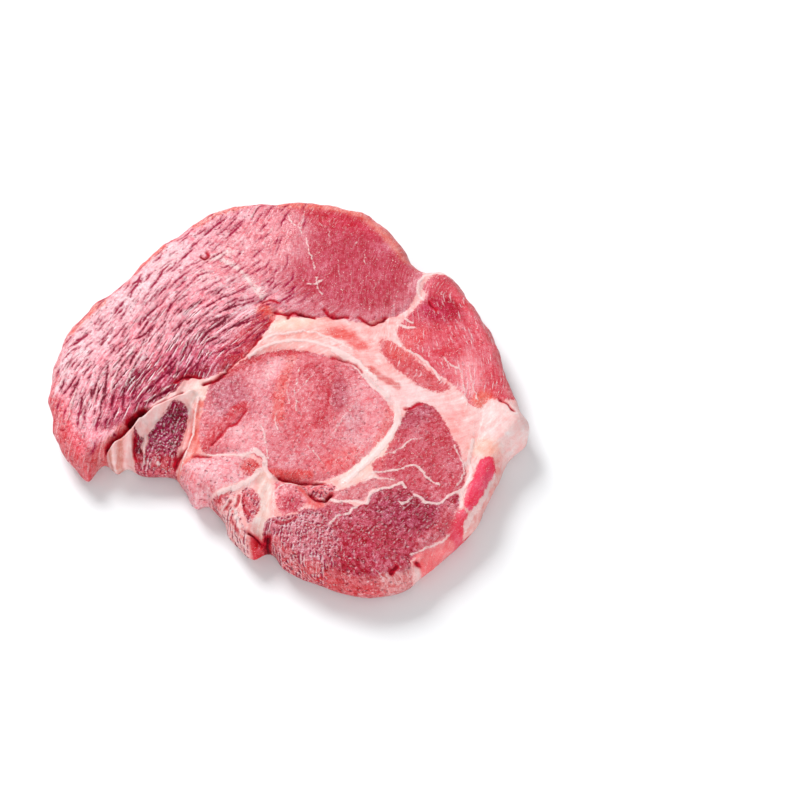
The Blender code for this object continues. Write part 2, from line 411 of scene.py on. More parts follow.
MUSCLES: dict[str, Muscle] = {
    "cap": Muscle(
        [(-70, -44), (-81, -35), (-89, -20), (-93, 0), (-92, 14), (-88, 25), (-80, 37), (-70, 46), (-63, 57),
         (-56, 66), (-48, 72), (-39, 80), (-31, 86), (-20, 89), (-2, 90), (14, 88), (28, 84), (38, 75),
         (45, 63), (50, 51), (48, 40), (43, 31), (37, 28), (26, 26), (14, 28), (0, 28), (-5, 31), (-7, 27),
         (-14, 16), (-24, 4), (-31, -1), (-38, -1), (-43, -7), (-48, -11), (-53, -15), (-57, -20),
         (-60, -24), (-63, -28), (-66, -32), (-69, -37)], (254, 176, 188), Grain.ALONG, 0.7),
    "eye": Muscle(
        [(-29, -3), (-18, 8), (-11, 11), (-3, 13), (5, 12), (12, 10), (20, 7), (26, 3), (30, -2), (33, -8),
         (37, -14), (39, -19), (38, -24), (34, -29), (26, -38), (18, -44), (6, -46), (-4, -44), (-8, -41),
         (-12, -35), (-20, -35), (-28, -35), (-32, -32), (-33, -23), (-32, -15), (-31, -8)], (232, 130, 140),
         Grain.ACROSS),
    "right muscle": Muscle(
        [(51, 38), (50, 42), (55, 47), (60, 47), (65, 46), (70, 38), (76, 26), (82, 12), (85, 3), (87, -8),
         (80, -11), (74, -11), (71, -14), (67, -13), (65, -9), (62, -5), (57, -1), (52, 4), (47, 9),
         (43, 13), (41, 17), (40, 22), (43, 27), (47, 32)], (226, 88, 102), Grain.SLANTED, 1.4),
    "wedge muscle": Muscle(
        [(34, 17), (38, 16), (43, 12), (47, 8), (52, 2), (57, -2), (60, -5), (58, -7), (54, -7), (49, -5),
         (44, -1), (40, 2), (37, 6), (34, 11)], (224, 98, 106), Grain.SLANTED, 1.6),
    "inner muscle": Muscle(
        [(44, -15), (48, -12), (52, -13), (56, -17), (60, -26), (63, -32), (64, -37), (65, -42), (64, -48),
         (61, -52), (55, -55), (50, -55), (47, -52), (42, -49), (36, -46), (32, -43), (31, -39), (35, -35),
         (38, -29), (41, -22)], (214, 92, 106), Grain.ACROSS),
    "lower muscle": Muscle(
        [(63, -52), (62, -57), (60, -62), (58, -68), (53, -72), (49, -75), (45, -79), (46, -84), (42, -90),
         (32, -95), (18, -93), (6, -88), (-4, -82), (-8, -75), (-6, -68), (-4, -63), (2, -61), (8, -58),
         (13, -58), (18, -55), (26, -57), (29, -55), (31, -51), (37, -49), (42, -48), (47, -52), (55, -55),
         (60, -52)], (196, 72, 92), Grain.PITTED),
    "left of the lower muscle": Muscle(
        [(-8, -78), (-8, -67), (-6, -62), (4, -61), (10, -59), (14, -62), (17, -66), (19, -73), (18, -80),
         (13, -84), (4, -86), (-4, -82)], (216, 120, 134), Grain.CRUMBLY),
    "oval muscle": Muscle(
        [(-29, -36), (-21, -36), (-14, -36), (-11, -38), (-9, -41), (-12, -44), (-15, -46), (-20, -48),
         (-27, -51), (-31, -55), (-37, -56), (-41, -48), (-40, -44), (-38, -39), (-34, -37)],
         (252, 176, 184), Grain.PITTED),
    "round muscle": Muscle(
        [(-4, -46), (0, -47), (3, -48), (6, -52), (8, -55), (6, -58), (3, -60), (-1, -61), (-3, -57),
         (-4, -52)], (242, 138, 148), Grain.PITTED),
    "flap muscle": Muscle(
        [(-51, -23), (-49, -20), (-46, -16), (-43, -13), (-40, -12), (-38, -14), (-38, -19), (-39, -26),
         (-41, -33), (-42, -44), (-52, -46), (-59, -44), (-57, -37), (-54, -34), (-52, -29), (-52, -25)],
         (166, 40, 74), Grain.CRUMBLY, 0.8),
    "pocket of the flap": Muscle(
        [(-56, -25), (-54, -26), (-54, -30), (-53, -35), (-55, -37), (-57, -33), (-57, -29)], (150, 20, 46),
         Grain.CRUMBLY, 0.7),
    "crumbs by the hole": Muscle(
        [(5, -48), (11, -48), (14, -47), (18, -49), (16, -52), (13, -54), (9, -52)], (248, 148, 156),
         Grain.CRUMBLY, 1.2),
    "pale strip": Muscle(
        [(20, -50), (25, -48), (29, -46), (34, -45), (40, -47), (37, -49), (31, -50), (29, -54), (22, -55),
         (14, -56), (13, -53)], (226, 128, 136), Grain.ACROSS, 1.4),
    "upper rim muscle": Muscle(
        [(64, -55), (65, -50), (67, -46), (69, -41), (70, -37), (72, -36), (75, -36), (76, -40), (74, -45),
         (72, -50), (69, -55), (67, -58), (65, -58)], (248, 70, 100), Grain.SMOOTH, 0.8),
    "lower rim muscle": Muscle(
        [(58, -68), (59, -64), (61, -59), (64, -58), (66, -61), (64, -65), (62, -69), (60, -71)],
         (246, 70, 92), Grain.SMOOTH, 0.8),
    "rim strip": Muscle(
        [(46, -78), (49, -74), (53, -71), (57, -69), (61, -70), (60, -75), (54, -80), (49, -84), (46, -82)],
         (255, 122, 126), Grain.SMOOTH, 0.8),
    "first front lump": Muscle(
        [(-29, -53), (-24, -51), (-20, -49), (-18, -50), (-19, -54), (-23, -56), (-26, -57)],
         (255, 184, 186), Grain.CRUMBLY, 1.2),
    "second front lump": Muscle(
        [(-16, -50), (-13, -49), (-11, -51), (-9, -55), (-10, -60), (-13, -64), (-15, -60), (-16, -55)],
         (226, 110, 120), Grain.CRUMBLY, 1.2),
    "third front lump": Muscle(
        [(-23, -57), (-20, -55), (-18, -57), (-16, -61), (-14, -66), (-13, -70), (-14, -74), (-18, -71),
         (-21, -66), (-24, -61)], (255, 190, 190), Grain.CRUMBLY, 1.4),
}

FAT_TONE: Tone = (254, 188, 186)
BETWEEN_TONE: Tone = (220, 108, 120)
RIM_TONE: Tone = (228, 104, 108)

# The end of the cap, where its fibres lie smooth
LEFT_LOBE = Spot((-80, -27), (16, 11), -50)

# The corner of the cap where its face is smooth, and the wider one where no furrow starts
SMOOTH_CORNER = Spot((24, 56), (30, 26), -25)
UNTORN_CORNER = Spot((16, 56), (26, 30), -20)

# Where the fibres of the cap are torn most
TORN_MIDDLE = Spot((-36, 18), (24, 18), 35)
TORN_SEAM = Spot((-60, -6), (30, 18), 20)

# The blood-red hole in the front side, and its foot in fat and lean alike
HOLE = Spot((-8, -73), (6, 8))
FOOT_OF_THE_HOLE = Tint(Stripe([(-10, -70), (-9, -74), (-8, -79)], 2.6), (216, 24, 46), 0.95)

# The front side from the flap to the hole, paler than the rest of the side
PALE_SIDE = Stripe([(-60, -36), (-45, -42), (-30, -54), (-18, -66), (-13, -72)], 5)

FAT_TINTS: dict[str, Tint] = {
    "junction": Tint(Spot((44, -9), (16, 6), -15), (255, 210, 210), 0.9),
    "knob": Tint(Spot((79, -23), (11, 13)), (255, 210, 208), 1.0),
    "peach of the knob": Tint(Spot((72, -32), (5, 4)), (254, 196, 178), 0.7),
    "behind the eye": Tint(Spot((2, 21), (14, 6), 8), (254, 182, 174), 0.7),
    "cream at the cap's corner": Tint(Spot((0, 25), (8, 3), 10), (255, 224, 210)),
    "vein down the eye": Tint(Spot((30, -36), (6, 16), -40), (255, 214, 206), 0.9),
    "lip of the flap": Tint(
        Stripe([(-37, -9), (-44, -13), (-51, -17), (-57, -25), (-66, -37)], 4.5), (255, 206, 204), 1.0),
    "corner of the cap seam": Tint(Spot((-33, -8), (5, 6)), (254, 212, 204), 0.9),
    "strip beside the flap": Tint(
        Stripe([(-33, -14), (-34, -24), (-35, -33), (-38, -40)], 2.6), (242, 124, 116), 0.9),
    "foot of the junction band": Tint(
        Stripe([(-8, -42), (-8, -50), (-8, -58), (-8, -66)], 2.4), (248, 208, 200), 0.9),
    "left of the oval": Tint(Spot((-36, -50), (4, 8), -30), (244, 150, 146), 0.7),
    "first rosy patch": Tint(Spot((19, 20), (6, 2.6), -10), (238, 108, 104), 0.95),
    "second rosy patch": Tint(Spot((25, 15), (4.5, 2.4), -35), (240, 120, 118), 0.95),
    "reddish strip": Tint(Stripe([(30, 3), (35, -2), (40, -5)], 1.2), (228, 120, 118)),
    "rim": Tint(Stripe([(76, -40), (70, -56), (60, -70), (50, -79)], 4), (248, 170, 164), 0.7),
    "right of the round": Tint(Stripe([(0, -47), (6, -49), (9, -53), (12, -58)], 2.4), (238, 108, 110), 0.9),
    "foot of the hole": FOOT_OF_THE_HOLE,
    "left of the hole": Tint(Stripe([(-17, -66), (-15, -72)], 1.6), (232, 130, 134)),
    "first fold of the flap": Tint(Stripe(FIRST_FOLD, 0.8), (222, 136, 124)),
    "second fold of the flap": Tint(Stripe(SECOND_FOLD, 0.7), (226, 146, 134)),
}

LEAN_TINTS: dict[str, Tint] = {
    # Painted sheen: the back of the cap is paler where the window light shines on it
    "painted sheen on the back of the cap": Tint(Stripe([(-84, 8), (-76, 26), (-62, 40), (-50, 56)], 9), (254, 202, 210)),
    "smooth corner of the cap": Tint(Spot((20, 54), (32, 26), -25), (198, 67, 86), 1.0),
    "top of the smooth corner": Tint(Spot((18, 78), (30, 8), -15), (204, 38, 60), 0.85),
    "between the cap halves": Tint(Spot((-16, 60), (14, 20), -40), (240, 148, 158)),
    "membrane end of the cap": Tint(Stripe([(-11, 30), (-9, 26), (-6, 21)], 3.2), (242, 108, 100), 0.95),
    "coral by the seam": Tint(Stripe([(-26, 6), (-18, 14), (-12, 22)], 6), (212, 66, 82), 0.95),
    "dark of the cap": Tint(Stripe([(-60, -6), (-52, 1), (-44, 5), (-36, 7)], 5), (190, 60, 92), 0.6),
    "first crimson of the cap": Tint(Spot((-58, -2), (6, 2.6), 50), (136, 4, 46), 0.95),
    "second crimson of the cap": Tint(Spot((-51, -7), (7, 2.2), 38), (142, 6, 48), 0.95),
    "third crimson of the cap": Tint(Spot((-39, 4), (6, 3.5), 30), (146, 8, 48), 0.95),
    "fourth crimson of the cap": Tint(Spot((-66, -21), (4.5, 2.4), 15), (176, 34, 72), 0.85),
    "fifth crimson of the cap": Tint(Spot((-45, 11), (5, 2.4), 60), (190, 50, 86), 0.7),
    "crimson of the left lobe": Tint(Spot((-79, -31), (4.5, 6)), (200, 44, 74), 0.9),
    "dark middle furrows": Tint(Spot((-40, 8), (15, 8), 35), (222, 104, 130)),
    "dark furrows by the seam": Tint(
        Stripe([(-62, -14), (-52, -6), (-42, 2), (-34, 4)], 6), (220, 100, 128), 0.85),
    "deep red by the seam": Tint(
        Stripe([(-50, -10), (-44, -6), (-38, 1), (-33, 3)], 2.5), (158, 22, 50), 0.85),
    "foot of the hole": FOOT_OF_THE_HOLE,
    "left rim": Tint(Stripe([(-88, -14), (-83, -27), (-74, -37)], 5), (242, 106, 118), 0.9),
    "edge by the cleft": Tint(
        Stripe([(-70, -35), (-66, -29), (-61, -23), (-57, -19)], 1.8), (238, 140, 138)),
    "first orange rim": Tint(Stripe([(-63, 50), (-58, 57), (-53, 62)], 2.0), (250, 112, 100), 0.95),
    "second orange rim": Tint(Stripe([(-85, 22), (-78, 31), (-74, 35)], 2.0), (246, 140, 128), 0.9),
    "third orange rim": Tint(Stripe([(-40, 74), (-32, 80), (-22, 84)], 2.2), (240, 130, 120)),
    "peach of the smooth edge": Tint(
        Stripe([(-6, 84), (14, 82), (26, 78), (36, 68), (44, 56)], 2.4), (240, 132, 122)),
    "pale right of the eye": Tint(Spot((28, -20), (8, 16)), (248, 160, 168), 0.85),
    "rosy middle of the eye": Tint(Spot((8, -10), (12, 22)), (228, 108, 118), 0.7),
    "dark rose of the eye": Tint(Spot((12, 1), (8, 5), -15), (208, 72, 86)),
    "rose column of the eye": Tint(Stripe([(12, -4), (12, -12), (12, -21)], 2.6), (212, 78, 92), 0.75),
    "mauve patch of the eye": Tint(Spot((18.5, -9), (3.6, 7)), (198, 92, 108), 0.85),
    "grey right of the eye": Tint(Spot((24, -20), (3, 8), -10), (226, 142, 152)),
    "coral foot right of the eye": Tint(Spot((20, -37), (9, 4), 25), (240, 112, 116)),
    "coral band of the eye": Tint(
        Stripe([(0, 9), (-2, 3), (-3, -4), (-4, -12), (-4, -19)], 2.2), (240, 116, 112), 0.7),
    "pale patch of the eye": Tint(Spot((-7, 2), (8, 3), 62), (250, 172, 180), 0.9),
    "foot of the pale patch": Tint(Stripe([(-10, -4), (-10, -12), (-11, -19)], 2.4), (240, 152, 162)),
    "coral right of the eye": Tint(Stripe([(38, -17), (37, -23), (34, -30)], 2.6), (244, 124, 126), 0.9),
    "coral foot of the eye": Tint(Stripe([(-6, -42), (0, -43), (8, -43)], 1.6), (232, 90, 90), 0.9),
    "left lobe of the eye": Tint(Spot((-23, -9), (7, 13), 20), (204, 106, 122), 0.85),
    "coral back of the lobe": Tint(
        Stripe([(-24, 1), (-18, 6), (-10, 10), (-3, 12)], 2.2), (206, 74, 84), 0.85),
    "pale wedge of the lobe": Tint(Spot((-15, -27), (9, 6), 42), (248, 162, 170), 0.95),
    # Darker rosy band on the lobe's step: its own tone with painted shade on the slope
    "step in the lobe": Tint(
        Stripe([(-17, -14), (-22, -19), (-27, -26), (-31, -32)], 2.2), (220, 84, 94), 0.9),
    "red patch by the eye": Tint(Spot((-1, 12), (8, 2), 10), (212, 74, 84), 0.9),
    "dark of the right muscle": Tint(Spot((57, 31), (9, 6)), (186, 26, 58), 0.9),
    "coral of the right muscle": Tint(Spot((44, 18), (7, 5), 30), (236, 96, 102)),
    "edge of the right muscle": Tint(Stripe([(64, 40), (72, 26), (79, 10), (83, -4)], 3.5), (244, 112, 126)),
    "pale end of the right muscle": Tint(Spot((67, 0), (5, 9)), (254, 158, 166)),
    "orange end of the right muscle": Tint(Spot((72, -11), (4, 4)), (244, 120, 108), 0.9),
    "coral of the wedge": Tint(Spot((40, 12), (6, 4), -50), (232, 104, 104)),
    "deep of the lower muscle": Tint(Spot((27, -77), (8, 11)), (192, 46, 70), 0.7),
    "purple of the lower muscle": Tint(Spot((44, -60), (12, 7), -10), (168, 48, 76), 0.7),
    "light end of the lower muscle": Tint(
        Stripe([(59, -58), (56, -66), (49, -72)], 2.6), (224, 112, 124), 0.75),
    "front of the lower muscle": Tint(
        Stripe([(0, -80), (10, -84), (22, -89), (34, -91)], 3.5), (230, 80, 88), 0.75),
    "fat of the front rim": Tint(Stripe([(36, -86), (42, -85), (47, -82)], 2.0), (244, 200, 198), 0.85),
    "rose of the first lump": Tint(Spot((-25, -53), (4, 1.5), 20), (214, 84, 98), 0.85),
    "frill of the flap": Tint(
        Stripe([(-66, -38), (-60, -37), (-54, -41), (-49, -42), (-43, -42)], 1.3), (244, 192, 182), 0.9),
    "rosy strip": Tint(Spot((20, -57), (6, 2), 20), (206, 78, 96)),
    "dark patch of the oval": Tint(Spot((-13, -40), (4, 4), 30), (230, 96, 96), 0.9),
    "upper rose of the inner": Tint(Spot((46, -18), (8, 4), 35), (184, 66, 84)),
    "coral rim of the inner": Tint(Stripe([(38, -28), (35, -35), (33, -40)], 1.8), (234, 110, 116), 0.7),
    "purple of the flap": Tint(Spot((-46, -24), (6, 8)), (160, 38, 76), 0.9),
    "rose of the flap": Tint(Spot((-49, -38), (8, 5)), (222, 96, 110), 0.85),
    "deep of the round": Tint(Spot((2, -56), (3.6, 3.6)), (206, 66, 88), 0.85),
}

VEINS: dict[str, Vein] = {
    "streak by the wedge": Vein([(44, 12), (49, 8), (54, 2), (56, -2)], 0.9),
    "short streak": Vein([(58, 8), (60, 5), (63, 3)], 0.7, 0.8),
    "first upper streak": Vein([(41, 24), (44, 23), (47, 23)], 0.7),
    "second upper streak": Vein([(43, 27), (46, 25)], 0.6),
    "edge of the knuckle": Vein([(50, 36), (48, 39), (49, 45), (54, 48), (60, 48), (63, 46)], 1.0),
    "first feather": Vein([(64, 3), (65, -6), (66, -14)], 0.8, 0.6),
    "second feather": Vein([(67, 5), (68, -3), (70, -11)], 0.8, 0.5),
    "first arc": Vein([(-16, 12), (-10, 18), (-3, 20), (6, 21), (16, 17), (23, 12)], 1.0, 0.8, 0.4),
    "second arc": Vein([(-16, 9), (-10, 14), (1, 17), (11, 15), (22, 9), (27, 4), (32, -2)], 1.3, 0.9, 0.5),
    "white band": Vein([(16, 12), (22, 7), (27, 1), (31, -5), (36, -9)], 2.2, 1.0, 0.4),
    "white down the eye": Vein(
        [(40, -14), (40, -21), (36, -29), (31, -36), (26, -41), (22, -46)], 2.4, 1.0, 0.3),
    "long inner vein": Vein([(31, -43), (38, -42), (42, -41), (47, -40), (51, -45), (55, -48)], 0.8, 0.9),
    "upper inner vein": Vein([(35, -35), (39, -34), (42, -32), (45, -29), (49, -28)], 0.7, 0.8),
    "right inner vein": Vein([(61, -30), (62, -34), (64, -38), (64, -43), (62, -48)], 0.8, 0.7),
    "crown vein": Vein([(46, -52), (48, -53), (50, -55), (55, -56), (58, -53), (63, -50)], 0.9),
    "white curl": Vein([(41, -55), (42, -56), (44, -55), (45, -53)], 0.7, 0.9),
    "foot of the pale strip": Vein(
        [(13, -53), (19, -55), (26, -55), (29, -56), (30, -53), (31, -51), (37, -49), (42, -47), (43, -49)],
         1.0),
    "head of the pale strip": Vein([(26, -46), (29, -45), (34, -45), (39, -46)], 0.6, 0.8),
    "lower muscle vein": Vein([(16, -65), (18, -62), (23, -60), (24, -58), (26, -57)], 0.9, 0.9),
    "white line of the rim": Vein(
        [(68, -28), (67, -32), (66, -37), (67, -41), (66, -46), (64, -49), (63, -52), (63, -57)], 1.2),
    "outer line of the rim": Vein(
        [(76, -41), (74, -46), (72, -51), (70, -55), (67, -59), (65, -63), (64, -67), (61, -70)], 1.6),
    "head of the rim strip": Vein([(45, -76), (49, -74), (52, -72), (56, -70), (59, -67)], 0.8, 0.8),
    "dotted line of the lobe": Vein([(-10, -22), (-9, -26), (-8, -31), (-7, -37)], 0.8, 0.6),
    "first branch in the eye": Vein([(3, 4), (2.5, -3), (1.5, -8), (2.5, -12), (2.5, -16)], 0.7, 0.55, 0.1),
    "second branch in the eye": Vein([(9, 1), (6, -3), (3, -8)], 0.6, 0.6, 0.1),
    "third branch in the eye": Vein([(24, -14), (21, -18), (18, -23), (16, -28)], 0.7, 0.55, 0.1),
    "fourth branch in the eye": Vein([(-5, -17), (-5, -21), (-4, -24)], 0.7, 0.5, 0.1),
    "fifth branch in the eye": Vein([(-1, -4), (-1, -8), (0, -13)], 0.6, 0.5, 0.1),
    "sixth branch in the eye": Vein([(7, -31), (10, -34), (13, -39)], 0.6, 0.6, 0.1),
    "foot of the left lobe": Vein([(-29, -35), (-25, -35), (-20, -35), (-12, -34)], 1.0, 0.9),
    "side of the junction band": Vein([(-12, -33), (-9, -36), (-8, -40), (-6, -44)], 1.6),
    "ring of the oval": Vein([(-10, -41), (-12, -45), (-18, -49), (-24, -51)], 1.8),
    "crease of the round": Vein([(-3, -62), (0, -63), (4, -61)], 0.6, 0.5),
    "arc by the round": Vein([(-5, -54), (-3, -49), (1, -47), (5, -48)], 0.8, 0.7),
    "pale curl": Vein([(-18, -54), (-18, -59), (-16, -65)], 1.1, 0.9, 0.4),
    "curl of the first lump": Vein([(-25, -58), (-22, -56), (-20, -54)], 0.9, 0.9, 0.4),
    "curl of the third lump": Vein([(-20, -58), (-21, -62), (-18, -66)], 0.9, 0.9, 0.4),
    "ridge beside the flap": Vein([(-34, -11), (-35, -19), (-35, -26), (-37, -33), (-40, -42)], 1.0, 0.8),
    "frill of the flap": Vein([(-66, -38), (-60, -36), (-54, -40), (-49, -41), (-42, -41)], 1.4, 0.9, 0.3),
    "curl in the frill": Vein([(-48, -36), (-46, -38), (-43, -40)], 1.0, 0.9, 0.4),
    "second curl of the flap": Vein([(-53, -25), (-53, -29), (-53, -36)], 0.8, 0.7, 0.0),
    "first thread": Vein([(3, 84), (3, 78), (2, 72), (2, 68)], 0.55, 0.6, 0.0),
    "second thread": Vein([(4, 66), (5, 60), (7, 54), (8, 49)], 0.65, 0.7, 0.0),
    "third thread": Vein([(13, 74), (13, 70), (13, 65)], 0.5, 0.5, 0.0),
    "fourth thread": Vein([(24, 64), (23, 61)], 0.5, 0.5, 0.0),
    "fifth thread": Vein([(27, 59), (27, 55), (28, 52)], 0.55, 0.6, 0.0),
    "sixth thread": Vein([(17, 55), (17, 50), (18, 44), (19, 38)], 0.5, 0.5, 0.0),
    "seventh thread": Vein([(32, 45), (31, 40), (30, 35), (29, 31)], 0.5, 0.5, 0.0),
    "eighth thread": Vein([(41, 45), (40, 39), (39, 34), (38, 30)], 0.5, 0.5, 0.0),
    "ninth thread": Vein([(-4, 78), (-2, 74), (0, 72)], 0.55, 0.6, 0.0),
    "tenth thread": Vein([(2, 75), (1, 72), (2, 69)], 0.55, 0.5, 0.0),
    "eleventh thread": Vein([(-9, 72), (-12, 67), (-13, 63)], 0.55, 0.5, 0.0),
    "twelfth thread": Vein([(18, 72), (19, 67)], 0.5, 0.45, 0.0),
    "thirteenth thread": Vein([(-2, 70), (-3, 66), (-4, 62)], 0.5, 0.5, 0.0),
    "white streak of the cap": Vein([(-15, 83), (-17, 80), (-18, 77)], 0.9, 0.9),
    "white star": Vein([(5, 43), (8, 43), (11, 45)], 0.6, 0.9),
    "foot of the white star": Vein([(9, 46), (9, 41), (11, 38)], 0.6, 0.9),
}

# Dark furrows along the fibres of the cap, apart from the many small ones
GRAIN_FURROWS: list[list[Point]] = [
    [(-63, 36), (-62, 40), (-59, 45)], [(-69, 28), (-67, 32), (-65, 35)], [(-56, 39), (-53, 44), (-51, 49)],
    [(-85, 13), (-81, 16), (-77, 21)], [(-85, -9), (-83, -6), (-81, -2)], [(-61, 17), (-57, 19), (-53, 24)],
    [(-59, 23), (-56, 28), (-52, 32)], [(-35, 17), (-32, 21), (-28, 24), (-24, 28)],
    [(-35, 30), (-31, 33), (-25, 37)], [(-34, 24), (-29, 26), (-25, 28)], [(-30, 28), (-24, 31), (-19, 33)],
    [(-25, 22), (-20, 24), (-15, 26)], [(-40, 43), (-37, 46), (-33, 48)], [(-46, 52), (-43, 57), (-40, 61)],
    [(-40, 19), (-38, 22), (-35, 27)], [(-49, 27), (-47, 32), (-44, 36)],
    [(-59, -9), (-57, -5), (-55, 0), (-51, 4)], [(-54, -8), (-50, -3), (-46, 2), (-45, 7)],
    [(-53, -13), (-50, -10), (-43, -6)], [(-59, -11), (-58, -6), (-57, -3)], [(-46, 0), (-44, 4), (-43, 8)],
    [(-40, 2), (-38, 5), (-37, 9)], [(-35, 14), (-32, 16), (-28, 18)], [(-61, 4), (-60, 8), (-58, 13)],
    [(-69, -11), (-69, 1), (-69, 6)], [(-74, -11), (-73, -6), (-72, -1)],
    [(-78, -23), (-78, -17), (-77, -11)], [(-66, -15), (-66, -11), (-65, -6)], [(-62, -15), (-62, -5)],
    [(-70, -17), (-70, -12), (-68, -8)], [(-82, -10), (-80, -5), (-79, -1)],
    [(-71, -25), (-71, -21), (-70, -16)], [(-28, 66), (-25, 70), (-21, 75)],
    [(-37, 67), (-33, 72), (-28, 77)], [(-31, 68), (-27, 73), (-24, 77)],
]

# Pale ridges that stand up between the furrows of the cap
GRAIN_RIDGES: list[list[Point]] = [
    [(-68, 7), (-71, 0), (-72, -6), (-73, -12)], [(-60, 13), (-64, 4), (-66, -2), (-67, -8)],
    [(-56, 15), (-58, 8), (-60, 1), (-62, -6)], [(-64, 9), (-67, 3), (-69, -4), (-70, -11)],
    [(-80, -6), (-81, -13), (-82, -20)], [(-76, -12), (-77, -18), (-77, -23)],
    [(-52, 3), (-55, -2), (-58, -7)], [(-47, 4), (-50, 0), (-54, -6), (-57, -11)],
    [(-45, -5), (-49, -9), (-54, -12)], [(-42, 6), (-43, 2), (-44, -1)], [(-36, 20), (-40, 15), (-42, 10)],
    [(-28, 19), (-33, 16), (-36, 13)], [(-84, 6), (-85, 0), (-86, -5)],
]

# Clefts that are dark with blood; the middles of the wide ones also take painted shade
CREVICES: dict[str, Furrow] = {
    "cleft": Furrow(
        [(-53, -16), (-56, -18), (-58, -20), (-60, -23), (-63, -27), (-66, -30), (-69, -34), (-71, -37)],
         0.95, 3.2),
    "head of the cleft": Furrow([(-54, -16), (-57, -18), (-59, -20)], 1.7, 2.0),
    "slot of the flap": Furrow([(-56.5, -27), (-57, -31), (-56, -35)], 0.4, 1.0),
    "thin end of the cleft": Furrow([(-53, -16), (-50, -14), (-46, -12), (-42, -10), (-40, -8)], 0.35, 0.8),
    "under the cap's edge": Furrow([(-32, -4), (-29, -3), (-27, -1), (-24, 2)], 0.7, 1.4),
    # Painted shadow along the cap's edge, in the clefts' blood colour
    "painted shadow left of the cap seam": Furrow([(-43, -3), (-40, -1), (-37, 0), (-34, -1)], 0.5, 0.9),
    "thin line of the seam": Furrow([(-24, 3), (-21, 7), (-18, 10), (-15, 14), (-12, 19)], 0.3, 0.7),
    "first dark of the seam": Furrow([(-12, 34), (-9, 35), (-6, 34)], 0.35, 0.7),
    "second dark of the seam": Furrow([(-7, 30), (-3, 29), (0, 30), (4, 29), (8, 28)], 0.5, 1.0),
    "stem of the seam": Furrow([(-2, 30), (-2, 27)], 0.35, 0.7),
    "third dark of the seam": Furrow([(12, 31), (14, 29), (16, 28), (21, 28)], 0.45, 1.0),
    "fourth dark of the seam": Furrow([(25, 28), (28, 26), (30, 25), (33, 26), (36, 28)], 0.4, 0.9),
    "line behind the eye": Furrow([(15, 9), (20, 7), (25, 4), (27, 1)], 0.25, 0.5),
    "under the eye": Furrow([(-3, -44), (0, -45), (3, -46), (6, -46), (10, -47), (13, -47)], 0.55, 1.4),
    "hole by the eye": Furrow([(9, -52), (11, -54), (14, -54), (16, -52)], 0.7, 1.8),
    "left of the oval": Furrow([(-34, -36), (-28, -36)], 0.3, 0.5),
    "slit of the flap": Furrow([(-42, -38), (-41, -35), (-38, -32)], 0.9, 1.2),
    # The hole's top and right side: blood colour with painted shade, where the hole lies in shadow
    "hole at the front": Furrow([(-13, -67), (-11, -68), (-9, -69), (-7, -69)], 0.5, 1.6),
    "side of the hole": Furrow([(-6.5, -68), (-6.5, -73), (-6.5, -79)], 1.3, 1.6),
    "slit of the knob": Furrow([(78, -11), (81, -13), (83, -16)], 0.4, 0.7),
    "line of the junction": Furrow([(43, -15), (45, -15), (47, -13), (49, -13)], 0.3, 0.5),
    # Dark line at the lobe's step: blood colour with painted shade
    "step of the left lobe": Furrow([(-28, -31), (-25, -27), (-22, -23), (-19, -21), (-16, -16)], 0.3, 0.7),
    "line in the eye": Furrow([(14.5, -7), (14.5, -14)], 0.15, 0.3),
    "crease of the round": Furrow([(-3, -64), (0, -64), (2, -63), (4, -62)], 0.2, 0.4),
    "first lump": Furrow([(-24, -57), (-22, -57), (-20, -55)], 0.25, 0.7),
    "second lump": Furrow([(-17, -52), (-17, -55), (-18, -57)], 0.25, 0.6),
    "curl": Furrow([(-37, 56), (-35, 55), (-34, 57), (-35, 59)], 0.4, 0.7),
    "peak marks": Furrow([(52, 35), (53, 33), (55, 31)], 0.4, 0.5),
    "first rim pit": Furrow([(38, -83), (40, -81)], 0.8, 0.9),
    "second rim pit": Furrow([(47, -79), (50, -80)], 0.6, 0.7),
    "third rim pit": Furrow([(32, -88), (33, -89)], 0.6, 0.7),
    "fourth rim pit": Furrow([(7, -81), (9, -82)], 0.4, 0.6),
    "fifth rim pit": Furrow([(1, -78), (2, -79)], 0.3, 0.5),
    "pits of the second lump": Furrow([(-15, -52), (-15, -57), (-13, -61)], 0.2, 0.6),
    "pit of the third lump": Furrow([(-18, -64), (-17, -67)], 0.4, 0.7),
    "upper pit of the third lump": Furrow([(-19.5, -61), (-19, -63)], 0.4, 0.7),
    "pit of the left lobe": Furrow([(-85, -22), (-83, -23)], 0.2, 0.4),
}

FILMS: dict[str, Film] = {
    "first fleck": Film(Spot((-32, 56), (5, 2.2), 30), 1.0),
    "second fleck": Film(Spot((-27, 59), (3, 2)), 0.9),
    "line of flecks": Film(Stripe([(-30, 56), (-23, 51), (-18, 45), (-14, 38), (-11, 36)], 1.5), 0.85),
    "foot of the line": Film(Spot((-14, 39), (4, 2.2), -50), 0.9),
    "soft film": Film(Spot((-35, 45), (6, 5), 30), 0.5),
    "back film": Film(Spot((-50, 52), (7, 5), 30), 0.45),
    # Painted highlight: glints on the eye, laid as a thin film of membrane colour
    "glints of the eye": Film(Spot((-8, 2), (3, 7), -25), 0.45),
}

